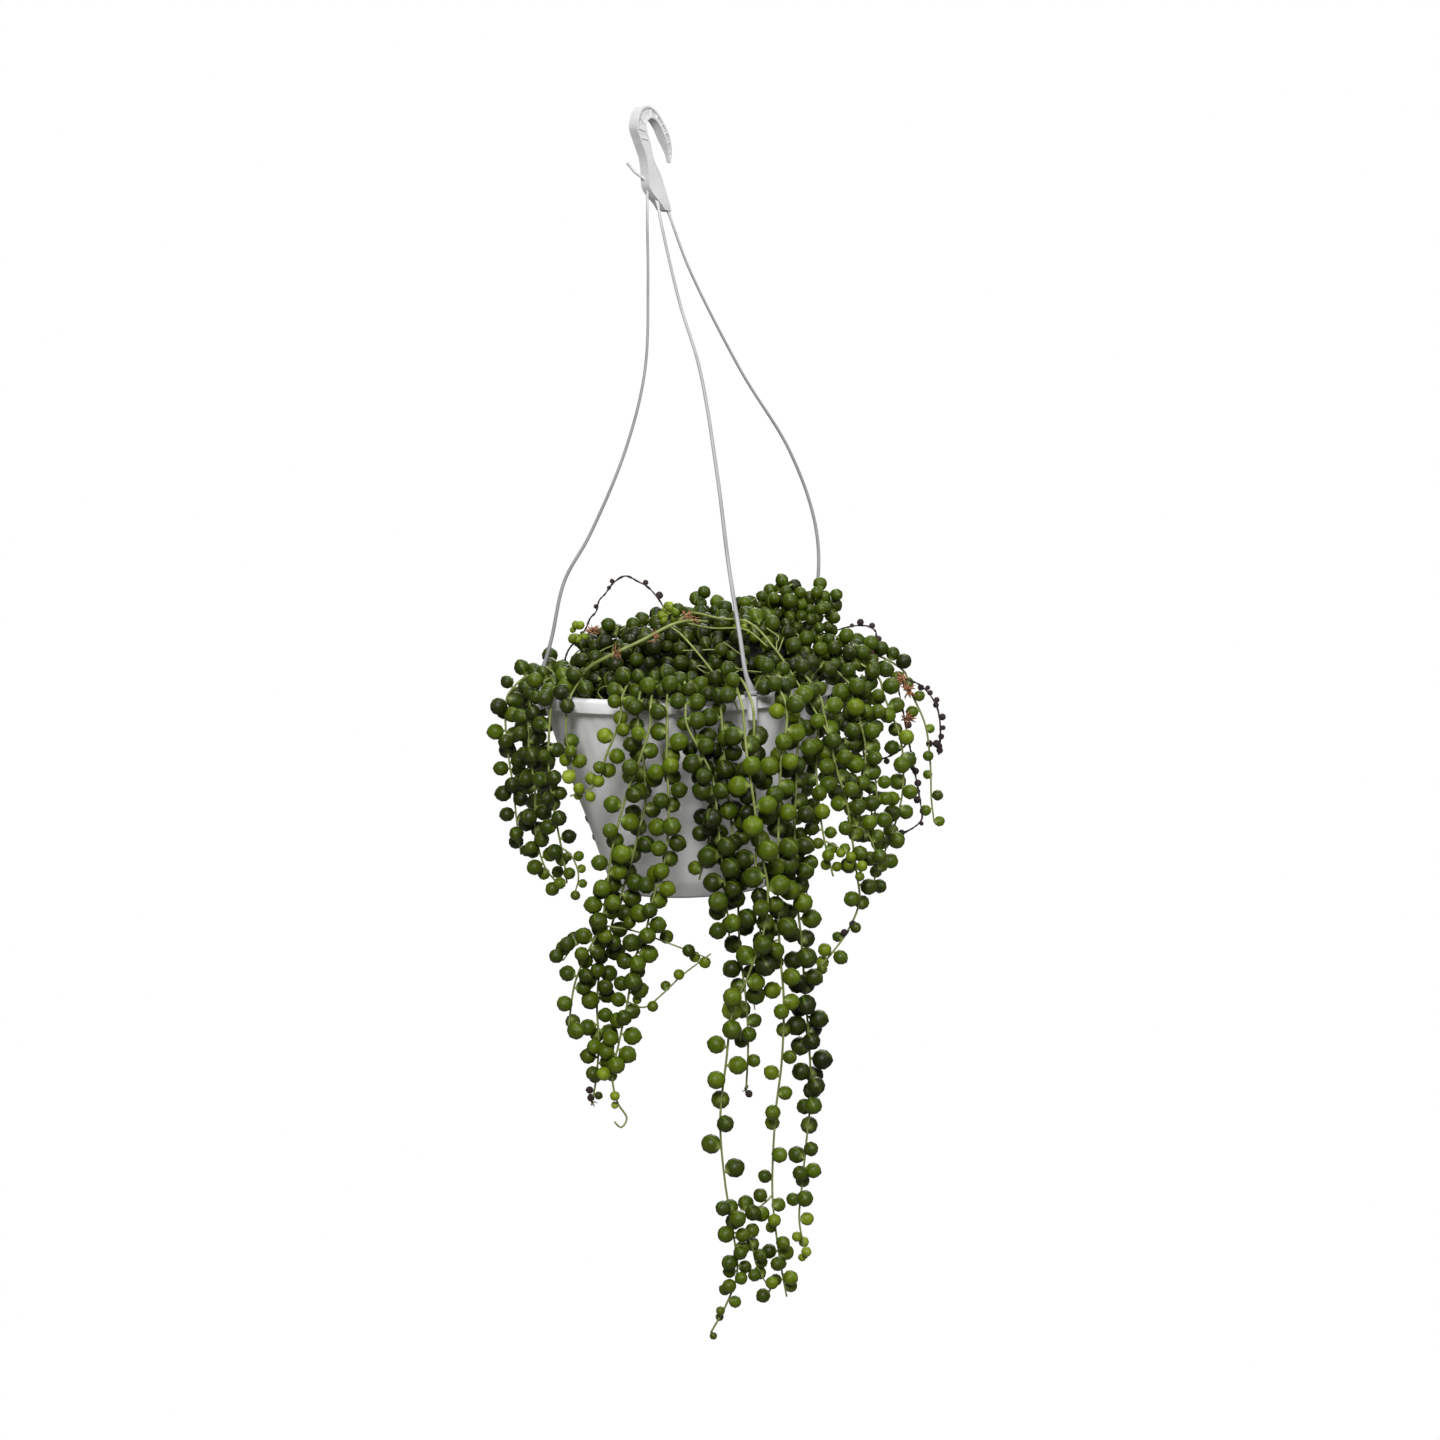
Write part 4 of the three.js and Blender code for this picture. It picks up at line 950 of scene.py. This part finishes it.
# The trailing strings: thin stems that root in the soil, arch over the rim and hang, with
# pearls that turn round them. Every string lists the points that it hangs through, and then
# its pearls: at a height, their spacing, their radius and how light they are.
ROOT_CIRCLE = 62
ROOT_DEPTH = 9
STRINGS = {
    "left_1": (
        [(-91, -8, -9), (-91, -10, -27), (-89, -12, -47), (-88, -10, -68), (-87, -8, -83)],
        [(-1, 4, 4.2, 0.25), (-45, 4.2, 4.1, 0.2), (-66, 5, 3.9, 0.25), (-83, 7, 3.4, 0.35)],
    ),
    "left_2": (
        [
            (-78, -31, -9), (-79, -32, -24), (-77, -32, -47), (-78, -30, -67), (-74, -28, -87),
            (-66, -26, -98),
        ],
        [(-1, 4.2, 4.1, 0.24), (-60, 4, 4, 0.18), (-98, 4.4, 3.4, 0.45)],
    ),
    "left_3": (
        [
            (-67, -46, -8), (-69, -48, -32), (-68, -48, -50), (-66, -46, -66), (-64, -44, -81),
            (-63, -44, -92),
        ],
        [
            (-1, 12, 4, 0.3), (-12, 12, 4, 0.3), (-20, 4.4, 3.8, 0.25), (-70, 5, 3.8, 0.28),
            (-92, 7, 2.8, 0.4),
        ],
    ),
    "left_4": (
        [(-59, -56, -9), (-59, -58, -20), (-56, -57, -37)],
        [(-1, 14, 4, 0.2), (-12, 12, 4, 0.2), (-18, 5, 3.7, 0.4), (-37, 4, 3.4, 0.7)],
    ),
    "young_1": (
        [
            (-32, -81, -6), (-35, -83, -14), (-40, -82, -25), (-43, -81, -35), (-49, -79, -41),
            (-58, -76, -44),
        ],
        [
            (-1, 6, 3.9, 0.42), (-8, 6, 3.7, 0.5), (-24, 5.5, 3.6, 0.6), (-38, 3.6, 3.2, 0.72),
            (-44, 3.6, 2.4, 0.78),
        ],
    ),
    "front_1": (
        [
            (-18, -92, -9), (-24, -93, -26), (-30, -92, -40), (-35, -92, -55), (-39, -92, -69),
            (-42, -92, -85), (-46, -90, -105), (-54, -88, -120), (-60, -86, -134), (-64, -86, -155),
        ],
        [
            (-1, 12, 3.9, 0.4), (-10, 7, 3.9, 0.45), (-60, 6, 4.3, 0.5), (-95, 3.4, 4.3, 0.38),
            (-126, 4, 4, 0.36), (-134, 7, 3.9, 0.38), (-155, 7, 4, 0.4),
        ],
    ),
    "front_2": (
        [
            (-24, -82, -9), (-22, -83, -30), (-22, -83, -47), (-26, -83, -62), (-30, -83, -76),
            (-35, -82, -90), (-41, -80, -107), (-47, -78, -125), (-50, -78, -146), (-50, -78, -164),
            (-52, -78, -182), (-55, -78, -196),
        ],
        [
            (-1, 13, 4, 0.3), (-12, 4.4, 4.2, 0.28), (-90, 4.2, 4.3, 0.38), (-110, 3.4, 4.3, 0.3),
            (-150, 3.6, 4.1, 0.36), (-182, 3.6, 3.6, 0.42), (-186, 30, 2, 0.3),
        ],
    ),
    "front_3": (
        [
            (-10, -92, -8), (-11, -93, -27), (-11, -93, -46), (-12, -93, -61), (-15, -93, -78),
            (-20, -94, -91), (-25, -94, -109), (-31, -92, -123), (-35, -90, -143), (-40, -88, -163),
            (-44, -87, -180), (-42, -87, -193), (-38, -87, -201), (-41, -88, -205), (-44, -88, -202),
        ],
        [
            (-1, 13, 4, 0.35), (-12, 5, 4.3, 0.34), (-90, 4.6, 4.4, 0.42), (-112, 3.8, 4.2, 0.34),
            (-150, 4, 4.1, 0.42), (-176, 3.4, 3.9, 0.45), (-188, 7, 2.2, 0.85), (-200, 40, 1.6, 0.9),
        ],
    ),
    "front_4": (
        [(2, -82, -10), (7, -81, -33), (9, -80, -51), (7, -80, -69), (2, -79, -87)],
        [
            (-1, 11, 3.9, 0.25), (-12, 4.6, 4, 0.22), (-62, 4.4, 4, 0.12), (-80, 6, 4.1, 0.35),
            (-87, 6, 3.8, 0.45),
        ],
    ),
    "long_1": (
        [
            (26, -99, -9), (27, -104, -29), (29, -105, -46), (31, -105, -67), (34, -104, -89),
            (31, -102, -110), (23, -99, -131), (15, -97, -149), (11, -95, -173), (7, -93, -202),
            (8, -92, -233), (11, -92, -259), (12, -92, -279), (6, -91, -295), (-2, -90, -309),
        ],
        [
            (-1, 16, 4, 0.4), (-14, 9, 4.4, 0.5), (-60, 9, 4.8, 0.5), (-110, 9, 4.8, 0.42),
            (-150, 8, 4.7, 0.5), (-205, 12, 4.7, 0.42), (-240, 15, 4.4, 0.42), (-246, 3.4, 4.2, 0.3),
            (-285, 3.6, 3.3, 0.45), (-309, 9, 1.7, 0.5),
        ],
    ),
    "long_2": (
        [
            (16, -85, -12), (17, -87, -39), (19, -87, -68), (20, -87, -96), (20, -87, -121),
            (22, -87, -147), (22, -87, -168), (20, -87, -191),
        ],
        [
            (-1, 9, 4, 0.25), (-10, 3.8, 4.4, 0.18), (-110, 3.8, 4.6, 0.2), (-140, 5.2, 4.3, 0.38),
            (-172, 5.5, 3.5, 0.48), (-182, 30, 2, 0.3),
        ],
    ),
    "long_3": (
        [
            (47, -86, -9), (43, -91, -31), (40, -92, -72), (39, -91, -96), (39, -90, -121),
            (40, -88, -146), (38, -86, -176), (34, -84, -203), (31, -82, -242), (32, -82, -263),
            (34, -81, -282), (36, -80, -296),
        ],
        [
            (-1, 7, 4.2, 0.4), (-14, 5, 4.4, 0.42), (-110, 4.8, 4.6, 0.36), (-140, 8, 4, 0.52),
            (-180, 10, 3.9, 0.55), (-235, 14, 3.7, 0.52), (-244, 4, 3.4, 0.5), (-262, 8, 3, 0.5),
            (-272, 3.2, 3.8, 0.4), (-296, 4.2, 3, 0.55),
        ],
    ),
    "long_4": (
        [
            (53, -77, -13), (51, -79, -33), (49, -79, -61), (48, -78, -89), (50, -76, -118),
            (51, -74, -144), (52, -73, -170), (52, -72, -197), (49, -71, -221), (46, -71, -243),
            (44, -71, -261), (47, -71, -280),
        ],
        [
            (-1, 7, 4.2, 0.36), (-14, 5, 4.3, 0.34), (-110, 5.6, 4.7, 0.2), (-160, 4, 4.8, 0.1),
            (-200, 4.2, 4.6, 0.12), (-206, 12, 4.2, 0.32), (-226, 4, 4.1, 0.36),
            (-246, 4.2, 3.9, 0.45), (-256, 9, 3.6, 0.5), (-272, 3.2, 2.5, 0.8), (-280, 4, 2.2, 0.8),
        ],
    ),
    "bundle_1": (
        [
            (31, -92, -9), (30, -93, -30), (30, -94, -60), (29, -94, -85), (30, -93, -108),
            (29, -92, -128),
        ],
        [(-1, 20, 4, 0.2), (-15, 3.6, 4.5, 0.14), (-128, 3.6, 4.8, 0.12)],
    ),
    "bundle_2": (
        [(-1, -92, -9), (10, -95, -35), (12, -96, -60), (14, -96, -88), (15, -97, -112)],
        [(-1, 12, 4, 0.3), (-12, 4.2, 4.5, 0.26), (-60, 3.8, 4.7, 0.18), (-112, 3.8, 4.8, 0.3)],
    ),
    "right_1": (
        [(82, -38, -8), (87, -40, -31), (85, -41, -49), (82, -41, -74)],
        [(-1, 4, 4.3, 0.4), (-40, 4, 4.2, 0.35), (-74, 5.5, 3.8, 0.4)],
    ),
    "right_2": (
        [
            (66, -64, -12), (71, -67, -39), (75, -67, -54), (77, -65, -71), (79, -61, -90),
            (80, -57, -106), (74, -56, -120), (66, -58, -130), (58, -60, -138),
        ],
        [
            (-1, 5, 4.2, 0.4), (-60, 6, 4, 0.4), (-80, 9, 4.1, 0.42), (-103, 4, 4, 0.45),
            (-109, 13, 3, 0.4), (-124, 8, 3, 0.5), (-129, 3.4, 3.4, 0.55), (-138, 3.4, 3, 0.6),
        ],
    ),
    "right_3": (
        [
            (99, -10, -9), (107, -12, -34), (107, -12, -58), (103, -12, -74), (97, -12, -89),
            (90, -12, -106),
        ],
        [
            (-1, 4.4, 4.1, 0.42), (-24, 6, 3.9, 0.42), (-50, 5, 4.2, 0.44), (-90, 4.6, 4.1, 0.4),
            (-106, 5, 3.4, 0.5),
        ],
    ),
    "right_4": (
        [(114, 14, -9), (122, 16, -29), (124, 16, -49), (124, 16, -68), (125, 16, -80)],
        [(-1, 6, 3.6, 0.4), (-12, 8, 3.2, 0.45), (-30, 12, 2.7, 0.5), (-80, 8, 2.8, 0.45)],
    ),
    "right_5": (
        [(64, -54, -9), (61, -66, -37), (62, -70, -61), (64, -70, -76), (67, -70, -90)],
        [(-1, 5, 4, 0.4), (-50, 6, 3.9, 0.4), (-66, 4, 3.4, 0.5), (-90, 3.4, 2.6, 0.62)],
    ),
    "right_6": (
        [(84, 20, -9), (89, 22, -34), (92, 22, -59), (94, 21, -84), (95, 21, -100)],
        [(-1, 4.2, 4, 0.3), (-60, 4.6, 4, 0.28), (-100, 6.5, 3.4, 0.36)],
    ),
}
# Side shoots by the string that they leave, with their pearls' spacing, radius and tone.
SHOOTS = {
    "left_3": [([(-60, -48, -78), (-57, -48, -88), (-60, -47, -99)], 6, 2.5, 0.55)],
    "front_1": [
        ([(-31, -86, -109), (-14, -86, -116), (5, -88, -124)], 10, 3.3, 0.4),
        ([(-54, -87, -112), (-60, -86, -116), (-65, -86, -122)], 4.2, 3.8, 0.3),
    ],
    "front_3": [
        ([(-27, -85, -147), (-18, -84, -141), (-9, -84, -133), (6, -86, -122)], 9, 2.5, 0.6),
    ],
    "long_1": [([(18, -90, -262), (22, -88, -278), (28, -87, -290)], 3.8, 3.2, 0.45)],
    "long_3": [
        ([(27, -84, -247), (20, -85, -251), (15, -86, -249)], 3.8, 3.8, 0.4),
        ([(27, -88, -120), (24, -88, -134), (26, -88, -150)], 4.6, 4.0, 0.3),
    ],
    "right_1": [
        ([(90, -38, -42), (92, -37, -56), (90, -36, -70)], 4.6, 3.7, 0.36),
        ([(78, -44, -24), (76, -46, -38), (74, -46, -56)], 4, 4, 0.26),
    ],
    "right_2": [([(84, -60, -70), (88, -58, -78), (90, -57, -90)], 4.8, 3.6, 0.4)],
    "right_5": [
        ([(70, -70, -76), (77, -70, -82), (81, -70, -90)], 3.2, 2.5, 0.66),
        ([(56, -70, -70), (52, -72, -84), (54, -72, -98)], 5, 3.8, 0.36),
    ],
}
# Heights at which a string bears a dry bead. The last one also has a tuft.
DRY_TIPS = {
    "front_2": (-188, -195), "long_2": (-190,), "right_2": (-116, -121),
    "right_4": (-40,), "bundle_1": (-127,),
}
# Every string's pearls above the rim, where they crowd.
RIM_BEADS = [(12, 4, 3.8, 0.24), (1, 4.4, 3.8, 0.26)]
# The back strings hang by rule, from one end of the back to the other: in turn near the pot and
# further out, swung a little to one side and the other, and longest in the middle.
BACK_STRINGS = 9
BACK_FROM, BACK_SWEEP = 28, 138
for i in range(BACK_STRINGS):
    azimuth = math.radians(BACK_FROM + BACK_SWEEP * i / (BACK_STRINGS - 1))
    out, swing, sway = (92, 5, 8) if i % 2 else (83, -4, -7)
    drop = 34 + 58 * math.sin(azimuth) + 9 * (i % 3)
    hanging = []
    for part in (0.12, 0.4, 0.7, 1):
        turn_by = azimuth + math.radians(swing) * part * part / 2
        reach = out - 2 * part
        hanging.append((reach * math.cos(turn_by), reach * math.sin(turn_by), -drop * part))
    beads = [(-1, 4.2, 4.1, 0.34), (-drop * 0.7, 5, 4, 0.3), (-drop, 6, 3.2, 0.5)]
    STRINGS[f"back_{i + 1}"] = (hanging, beads)
    aside = azimuth + math.radians(sway)
    x, y = (out - 1) * math.cos(aside), (out - 1) * math.sin(aside)
    SHOOTS[f"back_{i + 1}"] = [([(x, y, -drop * part) for part in (0.3, 0.55, 0.85)], 4.6, 3.8, 0.3)]


def string_route(hanging):
    """A string's way from its root up over the rim to its hanging points."""
    x, y, z = hanging[0]
    out = math.hypot(x, y)
    heading = np.array([x / out, y / out])
    steps = [
        (ROOT_CIRCLE, SOIL_TOP - ROOT_DEPTH),
        (ROOT_CIRCLE, SOIL_TOP),
        (ROOT_CIRCLE + 3, -3),
        (0.5 * (ROOT_CIRCLE + out) - 1, 7 + 0.1 * (out - RIM_RADIUS)),
        (out - 2, min(z + 8, 5)),
    ]
    return [(*(heading * reach), height) for reach, height in steps] + list(hanging)


for name, (hanging, beads) in STRINGS.items():
    path = through(string_route(hanging), 1.5)
    stem = tube(path, np.linspace(0.72, 0.48, len(path)), 6, material=GREEN)
    parts = [stem, pearls_along(path, 16, RIM_BEADS + beads)]
    for route, *bead in SHOOTS.get(name, []):
        goal = np.array(route[0])
        # A shoot leaves the stem near its own first point, and rather above that than below.
        reach = np.linalg.norm(path - goal, axis=1) + 0.7 * np.maximum(goal[2] - path[:, 2] + 4, 0)
        shoot = through([path[np.argmin(reach)], *route], 1.5)
        parts.append(tube(shoot, np.linspace(0.5, 0.36, len(shoot)), 6, material=GREEN))
        parts.append(pearls_along(shoot, 4, [(0, *bead), (-400, *bead)]))
    if name in DRY_TIPS:
        # Of two points as near to the height, the one further along the string is taken.
        late = 0.001 * np.arange(len(path))
        spots = [int(np.argmin(np.abs(path[:, 2] - height) - late)) for height in DRY_TIPS[name]]
        outs = chance.normal(0, 1, (len(spots), 3)) * (1, 1, 0.4)
        parts.append(pearls(path[spots], outs, np.full(len(spots), 1.9), np.zeros(len(spots)), DRY))
        parts.append(tuft(path[spots[-1]], 6, 3, 0.35, DRY))
    add_piece(f"string_{name}_leaves", joined(parts), LIVING, f"string_{name}", marked=True)


# Stems that dried and stayed: bare, kinked and dark, with shrivelled beads and a brown clump.
DRIED = {
    "dried_arch": [
        (-58, 26, -22), (-58, 26, -13), (-62, 27, 2), (-60, 25, 15), (-50, 20, 27), (-47, 19, 33),
        (-44, 18, 36), (-42, 17, 42), (-39, 16, 45), (-34, 15, 51), (-28, 14, 54), (-22, 14, 51),
        (-17, 13, 48), (-12, 12, 42), (-8, 9, 35),
    ],
    "dried_right": [
        (60, 12, -22), (60, 12, -13), (63, 12, 6), (71, 11, 19), (82, 10, 23), (89, 10, 24),
        (95, 10, 23), (98, 10, 20), (97, 10, 15), (95, 10, 8), (99, 9, 2), (104, 8, -2), (108, 8, -8),
    ],
}
DRIED_LOOPS = {
    "dried_arch": [],
    "dried_right": [
        [
            (108, 8, -8), (110, 6, -20), (112, 4, -34), (116, 2, -60), (117, 1, -68), (117, 0, -76),
            (108, 0, -82), (103, 0, -83),
        ],
        [(86, 2, -43), (93, 0, -44), (100, 0, -43), (106, -1, -40), (110, -1, -37), (112, 4, -34)],
        [(112, 8, -4), (120, 6, -8), (127, 6, -18), (129, 8, -30), (128, 10, -44)],
    ],
}
CLUMPS = {
    "dried_arch": [(-46, 18, 26)],
    "dried_right": [(96, 9, 8), (110, 7, -4), (113, 6, -10), (112, 5, -24)],
}
# The first point that may bear a bead, and the chance of one at each point from there on, for a
# stem and for its loops.
MAIN_BEADS = (36, 0.11)
LOOP_BEADS = (6, 0.2)
for name, route in DRIED.items():
    parts = []
    for line in [route, *DRIED_LOOPS[name]]:
        path = through(line, 1.2)
        direction, side, other = frames_along(path)
        first, odds = MAIN_BEADS if line is route else LOOP_BEADS
        draws = chance.uniform(0, 1, max(len(path) - 1 - first, 0))
        spots = np.arange(first, len(path) - 1)[draws < odds]
        outs = side[spots] + chance.normal(0, 0.8, (len(spots), 3))
        radii = chance.uniform(1.1, 2.1, len(spots))
        beads = pearls(path[spots], outs, radii, np.zeros(len(spots)))
        parts += [tube(path, 0.5 * chance.uniform(0.7, 1.4, len(path)), 6), beads]
    parts += [tuft(spot, 26, 4.6, 0.6, 1) for spot in CLUMPS[name]]
    add_piece(f"{name}_stem", joined(parts), [dry_stem, dry_bract], name)


# The room: a pale floor far below, a dim even surround before a white backdrop, and lamps in
# front of the object, above it, behind it, and one close to the hook.
FLOOR_HALF = 4
FLOOR_HEIGHT = -2.5
corners = [(-1, -1), (1, -1), (1, 1), (-1, 1)]
floor_mesh = bpy.data.meshes.new("floor")
spots = [(x * FLOOR_HALF, y * FLOOR_HALF, FLOOR_HEIGHT) for x, y in corners]
floor_mesh.from_pydata(spots, [], [(0, 1, 2, 3)])
# Matt white paint.
floor_paint, tree, skin = new_material("pale_floor")
feed(skin, {"Base Color": linear("#EDEDED"), "Roughness": 0.9})
floor_mesh.materials.append(floor_paint)
floor = bpy.data.objects.new("floor", floor_mesh)
bpy.context.scene.collection.objects.link(floor)

world = bpy.data.worlds.new("white_surround")
world.use_nodes = True
tree = world.node_tree
dim = tree.nodes["Background"]
feed(dim, {"Color": linear("#F8F4EA"), "Strength": 0.17})
backdrop = add_node(tree, "Background", {"Color": (1, 1, 1, 1), "Strength": 1.0})
seen = add_node(tree, "LightPath").outputs["Is Camera Ray"]
feed(tree.nodes["World Output"], {"Surface": add_node(tree, "MixShader", [seen, dim, backdrop])})
bpy.context.scene.world = world

POT_MIDDLE = (0, 0, -0.3)
HOOK_MIDDLE = (0, 0, -0.05)
# Each lamp's place, what it is aimed at, its width in metres and its power in watts.
LAMPS = {
    "key_lamp": ((-0.1, -1.45, 0.6), POT_MIDDLE, 0.45, 26),
    "top_lamp": ((0.1, -0.1, 1.2), POT_MIDDLE, 0.7, 13),
    "hook_lamp": ((0.55, -0.35, 0.1), HOOK_MIDDLE, 0.25, 1.6),
    "back_lamp": ((0.3, 1.3, 0.3), POT_MIDDLE, 0.7, 9),
}
for name, (place, aim, size, power) in LAMPS.items():
    lamp = bpy.data.lights.new(name, "AREA")
    lamp.size = size
    lamp.energy = power
    lamp_object = bpy.data.objects.new(name, lamp)
    facing = np.array(place) - np.array(aim)
    facing = facing / np.linalg.norm(facing)
    across = np.cross((0, 1, 0), facing)
    across /= np.linalg.norm(across)
    stance = np.column_stack([across, np.cross(facing, across), facing, place])
    lamp_object.matrix_world = Matrix(np.vstack([stance, (0, 0, 0, 1)]).tolist())
    bpy.context.scene.collection.objects.link(lamp_object)
